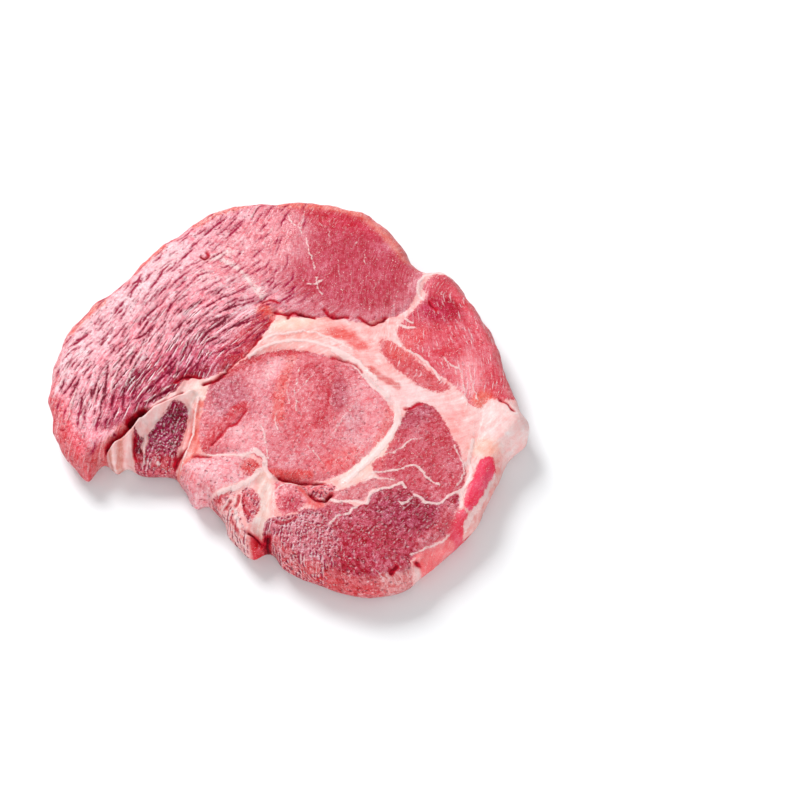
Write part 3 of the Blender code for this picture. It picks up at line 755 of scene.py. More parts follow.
# Which way the fibres run: place and direction in degrees, anticlockwise from +x
FIBRES: list[tuple[float, float, float]] = [
    (-69, -10, 86), (-52, 8, 66), (-54, 41, 56), (-30, 27, 38), (-31, 76, 55), (-83, 15, 50), (-67, 32, 60),
    (-39, 13, 74), (-24, 17, 30), (-85, -5, 60), (-78, -17, 87), (-57, -5, 60), (-50, -3, 58),
    (-48, -10, 40), (-22, 31, 25), (-36, 46, 38), (-43, 57, 56), (-27, 70, 50), (6, 58, 102), (18, 45, 97),
    (31, 38, 80), (39, 38, 80), (-22, -22, 53), (3, -10, 90), (24, -20, 80), (57, 4, 134), (62, 18, 150),
    (42, 4, 132), (58, 32, 145), (8, -75, 100), (54, -62, 50), (36, -70, 60), (30, -88, 170), (70, -48, 72),
    (-48, -34, 60), (67, -2, 100), (72, -8, 105), (78, 4, 120), (-12, 15, 48), (-2, 21, 14), (12, 20, -12),
    (24, 14, -38), (32, 6, -48), (40, -8, -30), (52, -9, -22), (62, -14, -30), (78, -24, 60), (36, 22, 60),
    (40, -26, 70), (30, -37, 48), (20, -47, 35), (-8, -55, 88), (-56, -22, 52), (-36, -24, 82), (56, 44, 30),
    (66, -42, 78), (62, -66, 60),
]

# The patterns of bumps in the face and in the lines that are drawn on it
WANDERING = (Texture(21, 2.6, 2.6), Texture(22, 2.6, 2.6))
UNEVEN_RIM = Texture(23, 5, 5)
BENT_FIBRES = Texture(3, 5, 9)
STRANDS = Texture(6, 1.5, 9)
BUNDLES = Texture(4, 4.5, 20)
CRUMBS = Texture(7, 1.5, 1.5)
SOFT_LUMPS = Texture(8, 4.5, 4.5)
FAT_LUMPS = Texture(9, 2.6, 7)

# The number of the pattern in the side's small lumps
SIDE_PATTERN = 41


# ---------------------------------------------------------------- the slice


@dataclass(frozen=True)
class Flow:
    """The direction of the fibres over the whole face, from a few places where it is known.

    Attributes:
        samples: The x and y of each known place, and the direction there in degrees.
        half_width: How far the grid over the face reaches from its middle.
        step: How far apart the grid's points are.
        softening: How near to a known place the direction is still mixed with the others.
    """

    samples: list[tuple[float, float, float]]
    half_width: float = 96.0
    step: float = 2.0
    softening: float = 4.0

    def angle(self, places: np.ndarray) -> np.ndarray:
        """Mixes the known directions, the nearer the stronger.

        Args:
            places: The places, in a grid or one row each.

        Returns:
            The fibres' direction at each place, in radians.
        """
        known = np.array(self.samples)
        gap = (places[..., :1] - known[:, 0]) ** 2 + (places[..., 1:2] - known[:, 1]) ** 2
        weight = 1 / (gap + self.softening**2) ** 1.5
        return np.radians((weight * known[:, 2]).sum(axis=-1) / weight.sum(axis=-1))

    def coordinates(self, places: np.ndarray) -> np.ndarray:
        """Measures each place across and along the fibres.

        Args:
            places: The places, one row each.

        Returns:
            For each place, how far across and how far along it lies, in millimetres.
        """
        ticks = np.arange(-self.half_width, self.half_width + self.step, self.step)
        grid = np.stack(np.meshgrid(ticks, ticks, indexing="ij"), axis=-1)
        angle = self.angle(grid)
        across = self._from_slopes(np.sin(angle), -np.cos(angle))
        along = self._from_slopes(np.cos(angle), np.sin(angle))
        return np.c_[self._read(across, places), self._read(along, places)]

    def _from_slopes(self, x_slope: np.ndarray, y_slope: np.ndarray) -> np.ndarray:
        """Finds the height whose slopes come nearest to these.

        Args:
            x_slope: Its slope along x, over the grid.
            y_slope: Its slope along y, over the grid.

        Returns:
            The height over the grid.
        """
        x_sheet = np.block([[x_slope, x_slope[:, ::-1]], [-x_slope[::-1], -x_slope[::-1, ::-1]]])
        y_sheet = np.block([[y_slope, -y_slope[:, ::-1]], [y_slope[::-1], -y_slope[::-1, ::-1]]])
        turns = 2 * math.pi * np.fft.fftfreq(len(x_sheet), self.step)
        x_turns, y_turns = np.meshgrid(turns, turns, indexing="ij")
        square = x_turns**2 + y_turns**2
        square[0, 0] = 1
        climb = x_turns * np.fft.fft2(x_sheet) + y_turns * np.fft.fft2(y_sheet)
        return np.real(np.fft.ifft2(-1j * climb / square))[: len(x_slope), : len(x_slope)]

    def _read(self, grid: np.ndarray, places: np.ndarray) -> np.ndarray:
        """Reads the grid between its points.

        Args:
            grid: The values over the grid.
            places: Where to read it.

        Returns:
            The value at each place.
        """
        spot = np.clip((places + self.half_width) / self.step, 0, len(grid) - 1.001)
        cell = spot.astype(int)
        fx, fy = (spot - cell).T
        cx, cy = cell.T
        low = grid[cx, cy] * (1 - fx) + grid[cx + 1, cy] * fx
        high = grid[cx, cy + 1] * (1 - fx) + grid[cx + 1, cy + 1] * fx
        return low * (1 - fy) + high * fy


@dataclass(frozen=True)
class Strokes:
    """How the dark furrows along the fibres of the cap are cut, in millimetres.

    Attributes:
        seed: The seed of their scatter.
        low: The corner with the lowest x and y of the area where the small ones are scattered.
        high: The corner opposite.
        tries: How many places are tried there.
        rim: How far they start from the border of the cap.
        beside: How far apart they are side by side.
        behind: How far apart they are end to end.
        sparse: The share of the places that take one where the cap isn't torn.
        shortest: How long the shortest is.
        spread: The shape and the scale of the draw that lengthens them.
        bend: How much they wander, in radians to the millimetre.
        thin: The least and the greatest half width of the small ones.
        wide: The half width of the large ones.
        step: How far apart the points of the large ones are.
        tips: How far towards its ends a furrow's taper is followed, as a share.
        ragged: The least and the greatest share that the half width takes on the way.
        depth: How deep a furrow is for its half width.
        reach: How far from a furrow the face is still measured.
    """

    seed: int = 31
    low: Point = (-92, -42)
    high: Point = (6, 88)
    tries: int = 7000
    rim: float = 1.5
    beside: float = 1.25
    behind: float = 0.5
    sparse: float = 0.12
    shortest: float = 2.0
    spread: tuple[float, float] = (2.0, 2.6)
    bend: float = 0.22
    thin: tuple[float, float] = (0.22, 0.42)
    wide: float = 0.5
    step: float = 0.8
    tips: float = 0.97
    ragged: tuple[float, float] = (0.45, 1.2)
    depth: float = 0.75
    reach: float = 2.5


@dataclass
class Tissue:
    """What lies at each place of the slice: lean or fat, its colours, its grain, its fibres, blood and films.

    Attributes:
        places: The places, one row each.
        depth: How far in from the outline each lies.
        flow: Which way the fibres run.
        strokes: How the furrows of the cap are cut.
        reach: How far from a border or a line the tissue is still measured.
        wander: How far the drawn borders and lines stray.
        rim: How wide the reddened rim of the lean is.
        reddening: How strongly it is reddened.
        coarse_height: How high the strands and bundles of coarse fibres stand.
        streaky_height: How high the strands of slanted fibres stand.
        crumb_height: How high the crumbs stand.
        lump_height: How high the soft lumps of the lean stand.
        fat_height: How high the lumps of the fat stand.
        cleft_taper: How much narrower the clefts get with each millimetre down the side.
        stroke_taper: How much narrower the furrows of the cap get.
        thread_taper: How much narrower the threads get.
    """

    places: np.ndarray
    depth: np.ndarray
    flow: Flow = field(default_factory=lambda: Flow(FIBRES))
    strokes: Strokes = Strokes()
    reach: float = 4.0
    wander: float = 0.45
    rim: float = 3.0
    reddening: float = 0.6
    coarse_height: float = 0.14
    streaky_height: float = 0.05
    crumb_height: float = 0.3
    lump_height: float = 0.12
    fat_height: float = 0.22
    cleft_taper: float = 0.35
    stroke_taper: float = 0.25
    thread_taper: float = 0.15

    def __post_init__(self) -> None:
        """Reads the anatomy at every place."""
        wander = np.column_stack([texture.at(self.places) for texture in WANDERING])
        self.drawn = self.places + self.wander * wander
        self.fibres = self.flow.coordinates(self.places)
        self.relief = np.zeros(len(self.places))
        self._lay_muscles()
        self._lay_veins()
        self._cut_crevices()
        self._cut_strokes()
        self._grow_grain()

    def narrow(self, drop: np.ndarray) -> None:
        """Lets the lines that run over the edge taper off down the side, except in the hole.

        Args:
            drop: How far down each place lies.
        """
        self.crevice -= self.cleft_taper * drop * (1 - HOLE.cover(self.places, 1.4))
        self.stroke -= self.stroke_taper * drop
        self.thread -= self.thread_taper * drop

    def _lay_muscles(self) -> None:
        """Colours the lean of each muscle and measures how deep in lean each place lies."""
        count = len(self.places)
        self.lean_depth = np.full(count, -self.reach)
        self.lean_tone = np.tile(linear(BETWEEN_TONE), (count, 1))
        self.grain = np.zeros((count, 3))
        for muscle in MUSCLES.values():
            route = smooth_route(muscle.border, ROUTE_STEP, closed=True)
            depth = depth_in(self.drawn, route, self.reach)
            share = smooth_step(depth / 2 + 0.7)
            self.lean_tone = blend(self.lean_tone, linear(muscle.tone), share)
            self.grain = blend(self.grain, np.array(muscle.grain.value), share)
            self.lean_depth = np.maximum(self.lean_depth, depth / muscle.softness)
        smooth = SMOOTH_CORNER.cover(self.places, 1.6)
        self.grain[:, 0] *= (1 - smooth) * (0.4 + 0.6 * self._torn(self.places))
        self.grain[:, 0] *= 1 - 0.75 * LEFT_LOBE.weight(self.places)
        self.grain[:, 1:] *= 1 - 0.65 * smooth[:, None]
        self.lean_tone = self._tinted(self.lean_tone, LEAN_TINTS)
        self.fat_tone = self._tinted(np.tile(linear(FAT_TONE), (count, 1)), FAT_TINTS)
        edge = self.reddening * smooth_step((self.rim - self.depth + 2 * UNEVEN_RIM.at(self.places)) / 2)
        edge *= smooth_step(4 * self.grain[:, 2]) * (1 - PALE_SIDE.weight(self.places))
        self.lean_tone = blend(self.lean_tone, linear(RIM_TONE), edge)

    def _torn(self, places: np.ndarray) -> np.ndarray:
        """Gives 1 where the fibres of the cap are torn most, falling smoothly to 0."""
        return np.clip(TORN_MIDDLE.weight(places) + TORN_SEAM.weight(places), 0, 1)

    def _tinted(self, tone: np.ndarray, tints: dict[str, Tint]) -> np.ndarray:
        """Lays soft areas of other colours over a colour.

        Args:
            tone: The colour at each place.
            tints: The areas.

        Returns:
            The new colour at each place.
        """
        for tint in tints.values():
            share = smooth_step(1.5 * tint.area.weight(self.drawn)) * tint.strength
            tone = blend(tone, linear(tint.tone), share)
        return tone

    def _lay_veins(self) -> None:
        """Draws the veins and threads of fat, and the films of membrane."""
        self.thread = np.full(len(self.places), -self.reach)
        ridges = [Vein(route, width=0.7, solidity=0.65, height=0.6) for route in GRAIN_RIDGES]
        for vein in [*VEINS.values(), *ridges]:
            gap, _ = distance_to(self.drawn, smooth_route(vein.route, ROUTE_STEP), self.reach)
            edge = vein.width / 2 - gap - 0.5 * (1 - vein.solidity)
            self.thread = np.maximum(self.thread, edge)
            self.relief += vein.height * np.exp(-((2 * gap / (vein.width + 0.6)) ** 2))
        self.film = np.zeros(len(self.places))
        for film in FILMS.values():
            self.film = np.maximum(self.film, film.density * film.area.weight(self.places))

    def _cut_crevices(self) -> None:
        """Cuts the dark clefts."""
        self.crevice = np.full(len(self.places), -self.reach)
        for furrow in CREVICES.values():
            gap, _ = distance_to(self.drawn, smooth_route(furrow.route, ROUTE_STEP), self.reach)
            self.crevice = np.maximum(self.crevice, furrow.half_width - gap)
            self.relief -= furrow.depth * np.exp(-((gap / (furrow.half_width + 0.25)) ** 2))

    def _cut_strokes(self) -> None:
        """Cuts the furrows along the fibres of the cap, large ones and many small ones."""
        given = self.strokes
        self.stroke = np.full(len(self.places), -self.reach)
        draw = np.random.default_rng(given.seed)
        large = [(smooth_route(route, given.step), given.wide) for route in GRAIN_FURROWS]
        for route, half_width in large + self._small_strokes(draw):
            pieces = len(route) - 1
            taper = np.sqrt(1 - np.linspace(-given.tips, given.tips, pieces) ** 2)
            taper *= draw.uniform(*given.ragged, pieces)
            gap, piece = distance_to(self.places, route, given.reach)
            near = gap < given.reach
            gap, width = gap[near], half_width * taper[piece[near]]
            self.stroke[near] = np.maximum(self.stroke[near], width - gap)
            self.relief[near] -= given.depth * width * np.exp(-((gap / (half_width + 0.1)) ** 2))

    def _small_strokes(self, draw: np.random.Generator) -> list[tuple[np.ndarray, float]]:
        """Scatters furrows along the fibres of the cap, clear of each other.

        Args:
            draw: The source of their places and sizes.

        Returns:
            Each furrow's route and half width.
        """
        given = self.strokes
        starts = draw.uniform(given.low, given.high, (given.tries, 2))
        cap = smooth_route(MUSCLES["cap"].border, ROUTE_STEP, closed=True)
        crowd = given.sparse + self._torn(starts)
        crowd *= 1 - UNTORN_CORNER.cover(starts, 1.5)
        crowd *= 1 - LEFT_LOBE.cover(starts, 1.3)
        depth = depth_in(starts, cap, 4 * given.rim)
        starts = starts[(depth > given.rim) & (draw.uniform(size=given.tries) < crowd)]
        spots = self.flow.coordinates(starts)
        lengths = np.round(given.shortest + draw.gamma(*given.spread, len(starts)))
        taken: list[int] = []
        for index, (spot, length) in enumerate(zip(spots, lengths)):
            across, along = (spots[taken] - spot).T
            level = (along < length + given.behind) & (along > -lengths[taken] - given.behind)
            if not np.any((np.abs(across) < given.beside) & level):
                taken.append(index)
        return [(self._follow(starts[i], int(lengths[i]), draw), draw.uniform(*given.thin)) for i in taken]

    def _follow(self, start: np.ndarray, length: int, draw: np.random.Generator) -> np.ndarray:
        """Traces a furrow along the fibres.

        Args:
            start: Where it starts.
            length: How long it is.
            draw: The source of its wandering.

        Returns:
            Its points, 1 mm apart.
        """
        route = [start]
        for _ in range(length):
            angle = float(self.flow.angle(route[-1])) + draw.normal(0, self.strokes.bend)
            route.append(route[-1] + np.array([math.cos(angle), math.sin(angle)]))
        return np.array(route)

    def _grow_grain(self) -> None:
        """Adds the fibres, the mottled ends of fibres and the soft lumps of the fat."""
        across, along = self.fibres.T
        lie = np.c_[across + 0.6 * BENT_FIBRES.at(self.fibres), along]
        coarse, streaky, crumbly = self.grain.T
        strand, bundle = STRANDS.at(lie), BUNDLES.at(lie)
        self.relief += coarse * (self.coarse_height * strand + self.coarse_height * bundle)
        self.relief += streaky * self.streaky_height * strand
        lean = smooth_step(self.lean_depth + 0.5)
        self.relief += lean * crumbly * self.crumb_height * CRUMBS.at(self.places)
        self.relief += (1 - coarse) * lean * self.lump_height * SOFT_LUMPS.at(self.places)
        self.relief += (1 - lean) * self.fat_height * FAT_LUMPS.at(lie)


@dataclass
class MeatSlice:
    """The slice itself: one closed skin over the cut face, the rounded side and the flat underside.

    Attributes:
        thickness: How thick it is before its relief.
        rim_rounding: How far in the upper edge is rounded.
        base_rounding: How far in the lower edge is rounded.
        base_clearance: How high over the table the side starts to be uneven.
        relief_from: The share of the height where the face's relief starts.
        edge_blend: How softly the direction inward turns where two stretches of the edge are equally near.
        side_lumps: How far the side's lumps stand out.
        side_lump_length: How long they are.
        small_lumps: How far its small lumps stand out.
        small_lump_length: How long they are.
        side_fibres: How much of the way down the side counts as a way along the fibres.
        top_waves: How high the face's long waves are.
        top_wave_length: How long they are.
        flap_drop: How deep the flap lies below the face.
        flap_blend: How wide the step down to it is.
        cap_heading: The direction that leads off the cap, in which the fibres get finer.
        cap_end: How far along it the coarse fibres end.
        spacing: How far apart the points of most of the cut face are.
        fine_spacing: How far apart they are where the fibres are coarse.
        base_spacing: How far apart they are in the underside.
        row_share: How far apart the rows of points are, as a share of their spacing.
        jitter: How far out of line the points are, as a share of it.
        edge_gap: How far they keep from the outline, as a share of it.
        side_rings: How many rows of faces the side has.
        batch: How many places the direction inward is found for at once.
        seed: The seed of its unevenness.
    """

    thickness: float = 15.5
    rim_rounding: float = 6.5
    base_rounding: float = 3.5
    base_clearance: float = 0.5
    relief_from: float = 0.3
    edge_blend: float = 2.0
    side_lumps: float = 0.45
    side_lump_length: float = 11.0
    small_lumps: float = 0.25
    small_lump_length: float = 3.0
    side_fibres: float = 0.8
    top_waves: float = 0.7
    top_wave_length: float = 46.0
    flap_drop: float = 2.6
    flap_blend: float = 2.5
    cap_heading: tuple[float, float] = (0.9, -0.42)
    cap_end: float = -14.0
    spacing: float = 0.64
    fine_spacing: float = 0.47
    base_spacing: float = 3.0
    row_share: float = 0.866
    jitter: float = 0.08
    edge_gap: float = 0.7
    side_rings: int = 12
    batch: int = 4000
    seed: int = 7

    def outline(self, step: float) -> np.ndarray:
        """Gives the slice's outline, one point to each step."""
        return smooth_route(OUTLINE, step, closed=True)

    def lattice(self, route: np.ndarray, spacing: float) -> np.ndarray:
        """Spreads points evenly within the outline, clear of it.

        Args:
            route: The outline's points.
            spacing: How far apart the points are.

        Returns:
            The points, slightly out of line with each other.
        """
        low, high = route.min(axis=0), route.max(axis=0)
        columns = np.arange(low[0], high[0], spacing)
        x, y = np.meshgrid(columns, np.arange(low[1], high[1], spacing * self.row_share))
        x[1::2] += spacing / 2
        points = np.c_[x.ravel(), y.ravel()]
        points += np.random.default_rng(self.seed).normal(0, self.jitter * spacing, points.shape)
        points = points[inside(points, route)]
        gap, _ = distance_to(points, route, 2 * spacing, closed=True)
        return points[gap > self.edge_gap * spacing]

    def furrowed(self, points: np.ndarray) -> np.ndarray:
        """Tells which points lie on the cap's side of a wavy line, where the fibres are coarse."""
        return points @ self.cap_heading < 1.2 * np.sin(points[:, 1] / 3) + self.cap_end

    def face(self, route: np.ndarray, points: np.ndarray) -> tuple[np.ndarray, np.ndarray]:
        """Covers the outline with triangles.

        Args:
            route: The outline's points, which stay first.
            points: The points within it.

        Returns:
            The points and the triangles' corners.
        """
        points = np.r_[route, points]
        count = len(route)
        edges = [(i, (i + 1) % count) for i in range(count)]
        made = delaunay_2d_cdt([Vector(point) for point in points], edges, [], 1, 1e-6)
        source = np.array([names[0] for names in made[3]])
        return points, source[np.array(made[2])]

    def shell(self) -> tuple[np.ndarray, np.ndarray]:
        """Builds the slab's closed skin, with square edges.

        Returns:
            Its points and its triangles' corners.
        """
        route = self.outline(self.spacing)
        count = len(route)
        coarse, fine = self.lattice(route, self.spacing), self.lattice(route, self.fine_spacing)
        top, top_faces = self.face(route, np.r_[coarse[~self.furrowed(coarse)], fine[self.furrowed(fine)]])
        base, base_faces = self.face(route, self.lattice(route, self.base_spacing))
        points = [np.c_[top, np.full(len(top), self.thickness)]]
        faces = [top_faces]
        upper = np.arange(count)
        start = len(top)
        after = np.roll(np.arange(count), -1)
        for ring in range(1, self.side_rings + 1):
            height = self.thickness * (1 - ring / self.side_rings)
            ring_points = route if ring < self.side_rings else base
            points.append(np.c_[ring_points, np.full(len(ring_points), height)])
            lower = start + np.arange(count)
            faces.append(np.c_[upper, upper[after], lower])
            faces.append(np.c_[upper[after], lower[after], lower])
            upper = lower
            start += count
        faces.append(base_faces[:, ::-1] + upper[0])
        return np.concatenate(points), np.concatenate(faces)

    def inward(self, places: np.ndarray, route: np.ndarray) -> np.ndarray:
        """Finds the direction away from the edge, which fades out where two stretches of it are equally near.

        Args:
            places: The places, one row each.
            route: The outline's points, clockwise.

        Returns:
            The direction at each place, 1 long or shorter.
        """
        runs = np.roll(route, -1, axis=0) - np.roll(route, 1, axis=0)
        rights = np.c_[runs[:, 1], -runs[:, 0]] / np.linalg.norm(runs, axis=1)[:, None]
        found = []
        for part in np.array_split(places, len(places) // self.batch + 1):
            gap = np.hypot(part[:, :1] - route[:, 0], part[:, 1:] - route[:, 1])
            weight = np.exp((gap.min(axis=1, keepdims=True) - gap) / self.edge_blend)
            found.append(weight @ rights / weight.sum(axis=1, keepdims=True))
        return np.concatenate(found)

    def shaped(self, flat: np.ndarray) -> tuple[np.ndarray, Tissue]:
        """Works the slab into the slice.

        Args:
            flat: The slab's points.

        Returns:
            The slice's points, still as drawn, and the tissue at each.
        """
        draw = np.random.default_rng(self.seed)
        route = self.outline(ROUTE_STEP)
        inward = self.inward(flat[:, :2], route)
        depth = depth_in(flat[:, :2], route, 3 * self.rim_rounding)
        middle = self.thickness / 2
        up = np.clip(flat[:, 2] / middle - 1, -1, 1)
        rounding = np.where(up > 0, self.rim_rounding, self.base_rounding)
        out = np.clip(1 - depth / rounding, 0, 1)
        back = (out - out * np.sqrt(1 - up**2 / 2)) * rounding
        height = middle + middle * up * np.sqrt(1 - out**2 / 2)
        centred = np.c_[flat[:, :2] - (route.min(axis=0) + route.max(axis=0)) / 2, flat[:, 2]]
        lump = self.side_lumps * waves(centred, self.side_lump_length, draw)
        lump += self.small_lumps * ripples(centred / self.small_lump_length, SIDE_PATTERN)
        off_table = smooth_step((height - self.base_clearance) / (self.thickness / 4))
        near_side = np.exp(-((np.maximum(depth, 0) / self.rim_rounding) ** 2)) * off_table
        places = flat[:, :2] + inward * (back - lump * near_side)[:, None]
        share = smooth_step((height / self.thickness - self.relief_from) / (1 - self.relief_from * 4 / 3))
        tissue = Tissue(places, depth)
        large = self.top_waves * waves(places, self.top_wave_length, draw) + self.large_relief(places)
        height = height + share * (large + tissue.relief * smooth_step(depth / 2 + 0.6))
        height[(flat[:, 2] == 0) & (depth > self.base_rounding)] = 0
        tissue.fibres[:, 1] += self.side_fibres * (self.thickness - height)
        tissue.narrow(self.thickness - flat[:, 2])
        return np.c_[places, height], tissue

    def large_relief(self, places: np.ndarray) -> np.ndarray:
        """Gives the rise of the large forms above a flat face.

        Args:
            places: The places, one row each.

        Returns:
            The rise at each place.
        """
        rise = np.zeros(len(places))
        for swell in SWELLS.values():
            rise += swell.height * swell.area.weight(places)
        depth = depth_in(places, smooth_route(FLAP, ROUTE_STEP, closed=True), 2 * self.flap_blend)
        rise -= self.flap_drop * smooth_step(depth / self.flap_blend + 0.5)
        for furrow in SEAMS.values():
            rise -= furrow.depth * Stripe(furrow.route, furrow.half_width).weight(places)
        return rise

    def build(self) -> bpy.types.Object:
        """Builds the slice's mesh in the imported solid's place, with its tissue stored on its points.

        Returns:
            The slice.
        """
        flat, faces = self.shell()
        points, tissue = self.shaped(flat)
        low, high = (np.array(corner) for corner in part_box(NODE))
        drawn_low, drawn_high = points.min(axis=0), points.max(axis=0)
        scale = (high - low) / (drawn_high - drawn_low)
        points[:, :2] = low[:2] + (points[:, :2] - drawn_low[:2]) * scale[:2]
        points[:, 2] = low[2] + (points[:, 2] - drawn_low[2]) * MM
        mesh = bpy.data.meshes.new("raw_meat_slice")
        mesh.from_pydata(points.tolist(), [], faces.tolist())
        self.store(mesh, tissue)
        mesh.shade_smooth()
        mesh.update()
        slice_object = bpy.data.objects.new("raw_meat_slice", mesh)
        bpy.context.scene.collection.objects.link(slice_object)
        return slice_object

    def store(self, mesh: bpy.types.Mesh, tissue: Tissue) -> None:
        """Keeps the tissue's measures on the mesh, where its material reads them.

        Args:
            mesh: The slice's mesh.
            tissue: The tissue at each of its points.
        """
        for name in ("lean_depth", "film", "thread", "stroke", "crevice"):
            layer = mesh.attributes.new(name, "FLOAT", "POINT")
            layer.data.foreach_set("value", getattr(tissue, name).astype(np.float32))
        for name in ("lean_tone", "fat_tone"):
            layer = mesh.attributes.new(name, "FLOAT_COLOR", "POINT")
            colours = np.c_[getattr(tissue, name), np.ones(len(tissue.places))]
            layer.data.foreach_set("color", colours.astype(np.float32).ravel())
        fibres = np.c_[tissue.fibres, np.zeros(len(tissue.places))]
        for name, values in (("grain", tissue.grain), ("fibres", fibres)):
            layer = mesh.attributes.new(name, "FLOAT_VECTOR", "POINT")
            layer.data.foreach_set("vector", values.astype(np.float32).ravel())


# ---------------------------------------------------------------- finishes


@dataclass
class Bench:
    """Short calls for the shader nodes that the finishes are made of.

    What a call is given is either a socket, which is linked, or a plain number, vector or colour.
    """

    tree: bpy.types.NodeTree

    def node(
        self, kind: str, inputs: dict[str | int, object] | None = None, **settings: object
    ) -> bpy.types.Node:
        """Adds a node.

        Args:
            kind: Its type.
            inputs: What its inputs are given, by their names or numbers.
            **settings: Its options.

        Returns:
            The node.
        """
        made = self.tree.nodes.new(kind)
        for name, value in settings.items():
            setattr(made, name, value)
        for name, value in (inputs or {}).items():
            self.feed(made.inputs[name], value)
        return made

    def feed(self, socket: Socket, value: object) -> None:
        """Gives a socket its value.

        Args:
            socket: The socket.
            value: Another socket, which is linked to it, or a plain value.
        """
        if isinstance(value, bpy.types.NodeSocket):
            self.tree.links.new(value, socket)
        else:
            socket.default_value = value

    def read(self, layer: str, output: str) -> Socket:
        """Reads one of the mesh's layers, by its Fac, Color or Vector output."""
        return self.node("ShaderNodeAttribute", attribute_name=layer).outputs[output]

    def maths(self, operation: str, *values: object) -> Socket:
        """Works out one operation on one to three numbers."""
        return self.node("ShaderNodeMath", dict(enumerate(values)), operation=operation).outputs[0]

    def times(self, *values: object) -> Socket:
        """Multiplies two or more numbers."""
        return functools.reduce(lambda total, value: self.maths("MULTIPLY", total, value), values)

    def add(self, *values: object) -> Socket:
        """Adds two or more numbers."""
        return functools.reduce(lambda total, value: self.maths("ADD", total, value), values)

    def scaled(self, value: object, scale: object, start: object) -> Socket:
        """Multiplies a number by a scale and adds a start to it."""
        return self.maths("MULTIPLY_ADD", value, scale, start)

    def rest(self, value: object) -> Socket:
        """Takes a number from 1."""
        return self.maths("SUBTRACT", 1.0, value)

    def vector(self, operation: str, first: object, second: object) -> Socket:
        """Works out one operation on two vectors."""
        return self.node("ShaderNodeVectorMath", {0: first, 1: second}, operation=operation).outputs[0]

    def parts(self, vector: Socket) -> bpy.types.bpy_prop_collection:
        """Splits a vector into its three numbers."""
        return self.node("ShaderNodeSeparateXYZ", {0: vector}).outputs

    def join(self, *values: object) -> Socket:
        """Joins three numbers into a vector."""
        return self.node("ShaderNodeCombineXYZ", dict(enumerate(values))).outputs[0]

    def noise(self, vector: object, scale: float, detail: float = 3.0, rough: float = 0.6) -> Socket:
        """Gives noise between -0.5 and 0.5.

        Args:
            vector: Where it is read.
            scale: How many bumps it has to the unit.
            detail: How many finer layers it has.
            rough: How strong they are.

        Returns:
            The noise.
        """
        inputs = {"Vector": vector, "Scale": scale, "Detail": detail, "Roughness": rough}
        made = self.node("ShaderNodeTexNoise", inputs, noise_dimensions="3D")
        return self.maths("SUBTRACT", made.outputs["Fac"], 0.5)

    def cells(self, vector: object, dimensions: str) -> bpy.types.bpy_prop_collection:
        """Parts a plane or space into cells, one to the unit, and gives the outputs of their node."""
        inputs = {"Vector": vector, "Scale": 1.0}
        return self.node("ShaderNodeTexVoronoi", inputs, voronoi_dimensions=dimensions, feature="F1").outputs

    def step(self, value: object, low: object, high: object) -> Socket:
        """Rises smoothly from 0 at the low value to 1 at the high one."""
        inputs = {"Value": value, "From Min": low, "From Max": high}
        return self.node("ShaderNodeMapRange", inputs, interpolation_type="SMOOTHSTEP").outputs["Result"]

    def mix(self, share: object, first: object, second: object) -> Socket:
        """Mixes two colours, or two numbers as greys."""
        inputs = {0: share, 6: first, 7: second}
        return self.node("ShaderNodeMix", inputs, data_type="RGBA", clamp_result=False).outputs[2]

    def group(self, tree: bpy.types.NodeTree, inputs: dict[str | int, object]) -> Socket:
        """Places a group with these inputs, and gives its only output."""
        return self.node("ShaderNodeGroup", inputs, node_tree=tree).outputs[0]


class Pattern(Enum):
    """How small marks are scattered, with the names of the numbers that the pattern's group takes."""

    DASHES = ("Spacing", "Length", "Width", "Share")
    SPECKS = ("Size", "Share")
    CRUMBS = ("Size",)


@dataclass
class PatternGroup:
    """A shader node group that turns a place and some numbers into a mask.

    Attributes:
        pattern: Which pattern it makes.
    """

    pattern: Pattern

    def __post_init__(self) -> None:
        """Makes the group with its inputs and its output, still without a pattern."""
        self.tree = bpy.data.node_groups.new(self.pattern.name.lower(), "ShaderNodeTree")
        self.tree.interface.new_socket("Place", in_out="INPUT", socket_type="NodeSocketVector")
        for label in self.pattern.value:
            self.tree.interface.new_socket(label, in_out="INPUT", socket_type="NodeSocketFloat")
        self.tree.interface.new_socket("Mask", in_out="OUTPUT", socket_type="NodeSocketFloat")
        self.bench = Bench(self.tree)
        self.given = self.bench.node("NodeGroupInput").outputs
        self.end = self.bench.node("NodeGroupOutput")

    def finish(self, mask: Socket) -> bpy.types.NodeTree:
        """Puts the mask out, and gives the finished group."""
        self.bench.feed(self.end.inputs["Mask"], mask)
        return self.tree

    def round_cells(self) -> bpy.types.bpy_prop_collection:
        """Parts space into cells of the group's Size.

        Returns:
            The outputs of their node.
        """
        scale = self.bench.maths("DIVIDE", 1.0, self.given["Size"])
        scale = self.bench.join(scale, scale, scale)
        return self.bench.cells(self.bench.vector("MULTIPLY", self.given["Place"], scale), "3D")


def speck_group() -> bpy.types.NodeTree:
    """Builds the group that scatters round specks.

    Returns:
        The group: Place, Size and Share in, Mask out.
    """
    made = PatternGroup(Pattern.SPECKS)
    bench = made.bench
    cells = made.round_cells()
    chance = bench.parts(cells["Color"])
    dot = bench.step(cells["Distance"], bench.scaled(chance[1], 0.32, 0.14), 0.05)
    return made.finish(bench.times(dot, bench.maths("LESS_THAN", chance[0], made.given["Share"])))


def crumb_group() -> bpy.types.NodeTree:
    """Builds the group that parts a face into crumbs.

    Returns:
        The group: Place and Size in, Mask out, highest between the crumbs.
    """
    made = PatternGroup(Pattern.CRUMBS)
    return made.finish(made.bench.step(made.round_cells()["Distance"], 0.5, 0.85))


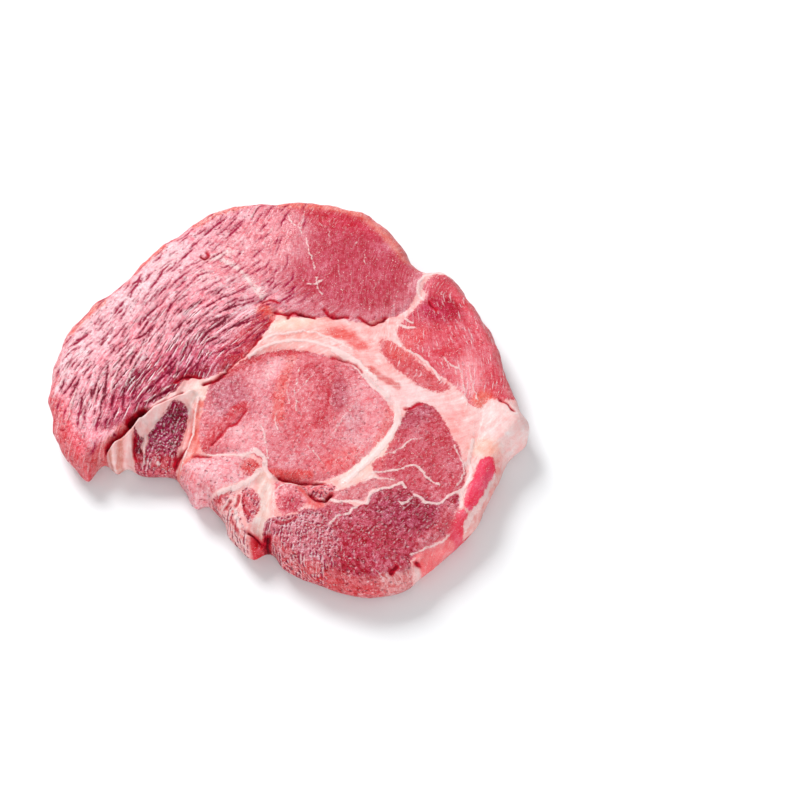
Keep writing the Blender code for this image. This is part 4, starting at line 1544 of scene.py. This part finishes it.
def dash_group() -> bpy.types.NodeTree:
    """Builds the group that lays short tapered dashes along fibres.

    Returns:
        The group: Place (across and along), Spacing, Length, Width and Share in, Mask out.
    """
    made = PatternGroup(Pattern.DASHES)
    bench, given = made.bench, made.given
    size = bench.join(given["Spacing"], given["Length"], 1.0)
    squeezed = bench.vector("DIVIDE", given["Place"], size)
    cells = bench.cells(squeezed, "2D")
    away = bench.vector("MULTIPLY", bench.vector("SUBTRACT", squeezed, cells["Position"]), size)
    across, along, _ = bench.parts(away)
    chance = bench.parts(cells["Color"])
    half_length = bench.times(given["Length"], bench.scaled(chance[1], 0.35, 0.15))
    reach = bench.maths("DIVIDE", along, half_length)
    taper = bench.rest(bench.times(reach, reach))
    edge = bench.maths("SUBTRACT", bench.times(given["Width"], 0.5, taper), bench.maths("ABSOLUTE", across))
    chosen = bench.maths("LESS_THAN", chance[0], given["Share"])
    return made.finish(bench.times(bench.step(edge, -0.08, 0.1), chosen))


def colour(tone: Tone) -> tuple[float, float, float, float]:
    """Turns a screen colour into a socket's linear colour."""
    red, green, blue = linear(tone)
    return (float(red), float(green), float(blue), 1.0)


GLINT: Tone = (255, 226, 230)
CRIMSON: Tone = (170, 12, 66)
WINE: Tone = (128, 0, 42)


@dataclass(frozen=True)
class Mark:
    """One kind of small mark on the lean: a dark mark, or a painted highlight in the glint tone.

    Attributes:
        pattern: How it is scattered.
        sizes: What its pattern's group takes: lengths in millimetres, and the share of cells with a mark.
        shift: How far its pattern is moved. A pair with nearly the same shift lies side by side, with the
            painted highlight on the side of the dark mark that faces the light.
        tone: Its colour.
        strength: How strongly it covers the lean.
        lift: How far it stands up, or how deep it lies where this is negative.
    """

    pattern: Pattern
    sizes: tuple[float, ...]
    shift: tuple[float, float, float] = (0.0, 0.0, 0.0)
    tone: Tone = GLINT
    strength: float = 0.0
    lift: float = 0.0


GASH_SIZES = (1.5, 8.0, 0.48, 0.6)
POCK_SIZES = (1.3, 1.3, 0.8, 0.6)

# The small marks, in the order in which they are laid over each other. Streaks, hairs, flecks, rims, lips and
# ridges are painted highlights.
MARKS: dict[str, Mark] = {
    "crumbs": Mark(Pattern.CRUMBS, (1.3,), lift=-0.2),
    "streaks": Mark(Pattern.DASHES, (1.5, 5.0, 0.5, 0.6), (90, 20, 0), GLINT, 0.6, 0.06),
    "hairs": Mark(Pattern.DASHES, (1.1, 2.2, 0.34, 0.4), (12, 34, 0), GLINT, 0.5),
    # Flecks, rims, lips and ridges are painted highlights beside the pits, dents, pocks and gashes, on their
    # side towards the light
    "flecks": Mark(Pattern.SPECKS, (1.0, 0.36), (-0.35, 0.35, 0), GLINT, 0.55, 0.12),
    "rims": Mark(Pattern.SPECKS, (1.6, 0.6), (30.5, 47.5, 0), GLINT, 0.65),
    "lips": Mark(Pattern.DASHES, POCK_SIZES, (60.6, 17.3, 0), GLINT, 0.45, 0.1),
    "ridges": Mark(Pattern.DASHES, GASH_SIZES, (39.6, 70, 0), GLINT, 0.95),
    "pores": Mark(Pattern.DASHES, (1.1, 2.6, 0.36, 0.6), (0, 0, 0), CRIMSON, 0.8, -0.1),
    "pits": Mark(Pattern.SPECKS, (1.0, 0.5), (0, 0, 0), CRIMSON, 0.8, -0.2),
    "pocks": Mark(Pattern.DASHES, POCK_SIZES, (61, 17, 0), CRIMSON, 0.8, -0.3),
    "dents": Mark(Pattern.SPECKS, (1.6, 0.8), (31, 47, 0), WINE, 0.9, -0.35),
    "gashes": Mark(Pattern.DASHES, GASH_SIZES, (40, 70, 0), WINE, 0.9, -0.15),
}


@dataclass
class MeatNodes:
    """The nodes of raw meat: its noises and masks, and the colour, wetness and relief mixed from them.

    Attributes:
        bench: The bench of the material's nodes.
    """

    bench: Bench

    def __post_init__(self) -> None:
        """Lays the noises, the lean, the marks on it and the lines over it."""
        bench = self.bench
        point = bench.node("ShaderNodeTexCoord").outputs["Object"]
        self.place = bench.vector("MULTIPLY", point, (1 / MM, 1 / MM, 1 / MM))
        self.fibres = bench.read("fibres", "Vector")
        self.coarse, self.streaky, self.crumbly = bench.parts(bench.read("grain", "Vector"))
        self.clouds = bench.noise(self.place, 0.11)
        self.patches = bench.noise(self.place, 0.35)
        self.ragged = bench.noise(self.place, 0.9, rough=0.65)
        self.grit = bench.noise(self.place, 2.1, detail=2.0)
        self.strands = bench.noise(bench.vector("MULTIPLY", self.fibres, (1.1, 0.14, 1.0)), 1.0)
        self.lean = bench.step(bench.scaled(self.ragged, 2.4, bench.read("lean_depth", "Fac")), -0.4, 0.4)
        self.marks = self._scatter()
        self.thread = bench.step(bench.scaled(self.ragged, 1.3, bench.read("thread", "Fac")), -0.28, 0.16)
        film = bench.scaled(self.ragged, 1.8, bench.read("film", "Fac"))
        self.film = bench.step(bench.scaled(self.grit, 3.0, film), 0.4, 0.8)
        self.stroke_edge = bench.scaled(self.ragged, 0.5, bench.read("stroke", "Fac"))
        self.stroke = bench.step(self.stroke_edge, -0.1, 0.14)
        self.crevice_edge = bench.scaled(self.ragged, 0.5, bench.read("crevice", "Fac"))
        self.crevice = bench.step(self.crevice_edge, -0.2, 0.25)

    def _scatter(self) -> dict[str, Socket]:
        """Scatters the small marks, each kind where it belongs.

        Returns:
            Each kind's mask.
        """
        bench = self.bench
        groups = {Pattern.SPECKS: speck_group(), Pattern.CRUMBS: crumb_group(), Pattern.DASHES: dash_group()}
        wavy = bench.vector("ADD", self.fibres, bench.join(bench.times(self.ragged, 0.9), 0.0, 0.0))
        strayed = bench.join(bench.times(self.grit, 1.5), bench.times(self.ragged, 1.5), 0.0)
        strayed = bench.vector("ADD", self.place, strayed)
        starts = {Pattern.SPECKS: strayed, Pattern.CRUMBS: strayed, Pattern.DASHES: wavy}
        patchy = bench.times(bench.step(self.patches, -0.16, 0.08), bench.scaled(self.crumbly, 0.8, 0.2))
        streaked = bench.scaled(self.streaky, 0.85, 0.1)
        loose = bench.step(self.crumbly, 0.68, 1.0)
        torn = bench.times(self.coarse, bench.step(bench.scaled(self.coarse, 0.25, self.clouds), 0.0, 0.2))
        # Where each mark lies; the pale marks are painted highlights
        where = {
            "crumbs": self.crumbly,
            "streaks": bench.times(streaked, bench.step(self.patches, -0.12, 0.08)),
            "hairs": bench.times(patchy, bench.rest(self.coarse)),
            "flecks": bench.times(patchy, bench.step(self.clouds, -0.14, 0.1)),
            "rims": self.crumbly,
            "lips": loose,
            "ridges": torn,
            "pores": bench.scaled(self.coarse, 0.8, 0.1),
            "pits": patchy,
            "pocks": loose,
            "dents": self.crumbly,
            "gashes": torn,
        }
        found = {}
        for name, mark in MARKS.items():
            vector = bench.vector("ADD", starts[mark.pattern], mark.shift)
            inputs = {"Place": vector, **dict(zip(mark.pattern.value, mark.sizes))}
            scattered = bench.group(groups[mark.pattern], inputs)
            found[name] = bench.times(scattered, self.lean, where[name])
        return found

    def tissue(self) -> Socket:
        """Mixes the mottled colours of the lean and the fat.

        Returns:
            The colour.
        """
        bench = self.bench
        tone = bench.mix(self.lean, bench.read("fat_tone", "Color"), bench.read("lean_tone", "Color"))
        mottles = bench.add(bench.times(self.patches, 1.5), self.ragged, bench.times(self.grit, 2.2))
        clouds = bench.times(self.clouds, 1.2)
        lean_power = bench.add(
            0.95, clouds, bench.times(mottles, bench.scaled(self.crumbly, 0.6, 0.4)),
            bench.times(self.marks["crumbs"], 0.75),
            bench.times(self.strands, bench.scaled(self.coarse, 2.4, 0.8)))
        fat_power = bench.add(1.0, clouds, bench.times(self.patches, 1.8), bench.times(self.strands, 1.2))
        power = bench.maths("MAXIMUM", bench.mix(self.lean, fat_power, lean_power), 0.3)
        return bench.node("ShaderNodeGamma", {"Color": tone, "Gamma": power}).outputs[0]

    def surface(self, finish: "RawMeat") -> Socket:
        """Lays the marks with their painted highlights, the threads and films, the furrows, and the clefts,
        whose wide middles take painted shade, over the tissue.

        Args:
            finish: The tones.

        Returns:
            The colour.
        """
        bench = self.bench
        painted = {name: mark for name, mark in MARKS.items() if mark.strength}
        # The pale marks are painted highlights; the clefts end in painted shade
        layers = [(self.marks[name], mark.strength, colour(mark.tone)) for name, mark in painted.items()]
        line = bench.mix(bench.step(self.coarse, 0.35, 0.8), colour(CRIMSON), colour(WINE))
        dark, bright = colour(finish.dark_blood), colour(finish.bright_blood)
        blood = bench.mix(bench.step(self.patches, -0.1, 0.1), dark, bright)
        # Painted shade: the middle of the wide clefts darkens to near-black blood
        shaded_core = bench.step(self.crevice_edge, 0.45, 0.95)
        blood = bench.mix(bench.times(shaded_core, 0.85), blood, colour(finish.shaded_blood))
        layers += [
            (self.thread, 0.8, colour(finish.membrane)),
            (self.film, 0.85, colour(finish.membrane)),
            (bench.step(self.stroke_edge, -0.75, 0.0), 0.45, colour(CRIMSON)),
            (self.stroke, 0.9, line),
            (bench.step(self.crevice_edge, -0.8, 0.0), 0.7, bright),
            (self.crevice, 0.92, blood),
        ]
        mixed = self.tissue()
        for mask, strength, tone in layers:
            mixed = bench.mix(bench.times(mask, strength), mixed, tone)
        return mixed

    def wetness(self) -> Socket:
        """Says where the wet film shines.

        Returns:
            1 where it does, falling to 0 in the hollows.
        """
        hollow = self.bench.maths("MAXIMUM", self.stroke, self.crevice)
        for name in ("gashes", "dents", "pocks"):
            hollow = self.bench.maths("MAXIMUM", hollow, self.marks[name])
        return self.bench.rest(hollow)

    def relief(self) -> Socket:
        """Adds up the finest relief.

        Returns:
            Its height, in millimetres.
        """
        bench = self.bench
        lifts = [bench.times(self.marks[name], mark.lift) for name, mark in MARKS.items() if mark.lift]
        lifts += [bench.times(self.strands, 0.2, self.coarse), bench.times(self.thread, 0.1)]
        return bench.add(bench.times(self.grit, 0.22), bench.times(self.ragged, 0.3), *lifts)


@dataclass(frozen=True)
class RawMeat:
    """The finish of raw meat: lean, fat, films and blood under a wet skin.

    Attributes:
        exposure: How bright its colours are under the studio's lights, against the screen colours.
        dark_blood: The clefts' darker blood.
        bright_blood: The clefts' brighter blood.
        shaded_blood: The dark blood in the middle of the wide clefts, with painted shade.
        membrane: The threads and films.
        lean_roughness: How rough the lean is.
        fat_roughness: How rough the fat is.
        shine: How strong the plain reflection is.
        wet_film: How strong the wet film over it is.
        wet_roughness: How rough that film is.
        glow: How much light goes through the flesh.
        glow_depth: How far it goes, in metres.
    """

    exposure: float = 0.73
    dark_blood: Tone = (134, 0, 24)
    bright_blood: Tone = (208, 14, 44)
    # Dark blood with painted shade, for the middle of the wide clefts
    shaded_blood: Tone = (70, 0, 10)
    membrane: Tone = (255, 224, 222)
    lean_roughness: float = 0.45
    fat_roughness: float = 0.4
    shine: float = 0.03
    wet_film: float = 0.17
    wet_roughness: float = 0.12
    glow: float = 0.08
    glow_depth: float = 0.0015

    def make(self) -> bpy.types.Material:
        """Makes the material.

        Returns:
            The material, which reads the tissue stored on the mesh.
        """
        material = bpy.data.materials.new("raw_meat")
        material.use_nodes = True
        bench = Bench(material.node_tree)
        meat = MeatNodes(bench)
        greys = ((value, value, value, 1.0) for value in (self.fat_roughness, self.lean_roughness))
        bump = bench.node("ShaderNodeBump", {"Distance": MM, "Height": meat.relief()})
        inputs = {
            "Base Color": bench.vector("MULTIPLY", meat.surface(self), (self.exposure,) * 3),
            "Roughness": bench.scaled(meat.patches, 0.25, bench.mix(meat.lean, *greys)),
            "Specular IOR Level": self.shine,
            "Coat Weight": bench.times(bench.step(meat.clouds, -0.3, 0.2), meat.wetness(), self.wet_film),
            "Coat Roughness": self.wet_roughness,
            "Subsurface Weight": self.glow,
            "Subsurface Radius": (1.0, 0.35, 0.25),
            "Subsurface Scale": self.glow_depth,
            "Normal": bump.outputs[0],
        }
        shader = material.node_tree.nodes["Principled BSDF"]
        for name, value in inputs.items():
            bench.feed(shader.inputs[name], value)
        return material


@dataclass(frozen=True)
class WhiteTable:
    """The finish of the table: plain matt white."""

    tone: Tone = (228, 230, 232)
    roughness: float = 0.7

    def make(self) -> bpy.types.Material:
        """Makes the material.

        Returns:
            The material.
        """
        material = bpy.data.materials.new("white_table")
        material.use_nodes = True
        shader = material.node_tree.nodes["Principled BSDF"]
        shader.inputs["Base Color"].default_value = colour(self.tone)
        shader.inputs["Roughness"].default_value = self.roughness
        return material


# ---------------------------------------------------------------- the studio


@dataclass(frozen=True)
class SoftLight:
    """A square soft light that points at the slice.

    Attributes:
        place: Where it stands, in metres.
        side: How wide it is, in metres.
        power: How strong it is, in watts.
        tone: Its colour.
    """

    place: tuple[float, float, float]
    side: float
    power: float
    tone: tuple[float, float, float] = (1.0, 1.0, 1.0)

    def build(self, name: str) -> None:
        """Adds the light.

        Args:
            name: Its name.
        """
        light = bpy.data.lights.new(name, "AREA")
        light.size = self.side
        light.energy = self.power
        light.color = self.tone
        lamp = bpy.data.objects.new(name, light)
        lamp.location = self.place
        lamp.rotation_euler = (-Vector(self.place)).to_track_quat("-Z", "Y").to_euler()
        bpy.context.scene.collection.objects.link(lamp)


@dataclass
class Studio:
    """The table, the lights and the camera.

    Attributes:
        look_at: The point in the middle of the picture, in metres.
        distance: How far from it the camera stands.
        elevation: How steeply it looks down, in degrees.
        lens: Its focal length, in millimetres.
        fill: How bright the white room is.
        table_reach: How far the table reaches from the slice, in metres.
        table_gap: How far the table lies below the slice, in metres.
        lights: The lights by their names.
    """

    look_at: tuple[float, float, float] = (0.042, -0.0058, 0.008)
    distance: float = 0.7098
    elevation: float = 56.0
    lens: float = 85.0
    fill: float = 0.5
    table_reach: float = 3.0
    table_gap: float = 0.0002
    lights: dict[str, SoftLight] = field(
        default_factory=lambda: {
            "window_light": SoftLight((-0.5, 0.8, 0.85), 0.6, 20.0),
            "front_light": SoftLight((0.2, -1.1, 0.5), 0.8, 10.0),
        }
    )

    def build(self) -> None:
        """Builds the studio."""
        mesh = bpy.data.meshes.new("table")
        far = self.table_reach
        mesh.from_pydata([(-far, -far, 0), (far, -far, 0), (far, far, 0), (-far, far, 0)], [], [(0, 1, 2, 3)])
        mesh.materials.append(WhiteTable().make())
        table = bpy.data.objects.new("table", mesh)
        table.location.z = -self.table_gap
        bpy.context.scene.collection.objects.link(table)
        for name, light in self.lights.items():
            light.build(name)
        world = bpy.data.worlds.new("white_room")
        world.use_nodes = True
        back = world.node_tree.nodes["Background"]
        back.inputs["Color"].default_value = (1, 1, 1, 1)
        back.inputs["Strength"].default_value = self.fill
        bpy.context.scene.world = world
        bpy.context.scene.view_settings.view_transform = "Standard"
        self._camera()

    def _camera(self) -> None:
        """Places the camera."""
        tilt = math.radians(self.elevation)
        lens = bpy.data.cameras.new("camera")
        lens.lens = self.lens
        camera = bpy.data.objects.new("camera", lens)
        away = Vector((0, -math.cos(tilt), math.sin(tilt)))
        camera.location = Vector(self.look_at) + self.distance * away
        camera.rotation_euler = (math.pi / 2 - tilt, 0, 0)
        bpy.context.scene.collection.objects.link(camera)
        bpy.context.scene.camera = camera


def main() -> None:
    """Builds the slice and its studio, and says what each piece is."""
    logging.basicConfig(level=logging.INFO, format="%(name)s: %(message)s")
    piece = MeatSlice().build()
    piece.data.materials.append(RawMeat().make())
    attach(piece, "root")
    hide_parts(NODE)
    LOG.info("%s: %d points, %d faces", piece.name, len(piece.data.vertices), len(piece.data.polygons))
    Studio().build()
    LOG.info("studio: table, lights and camera")


if __name__ == "__main__":
    main()
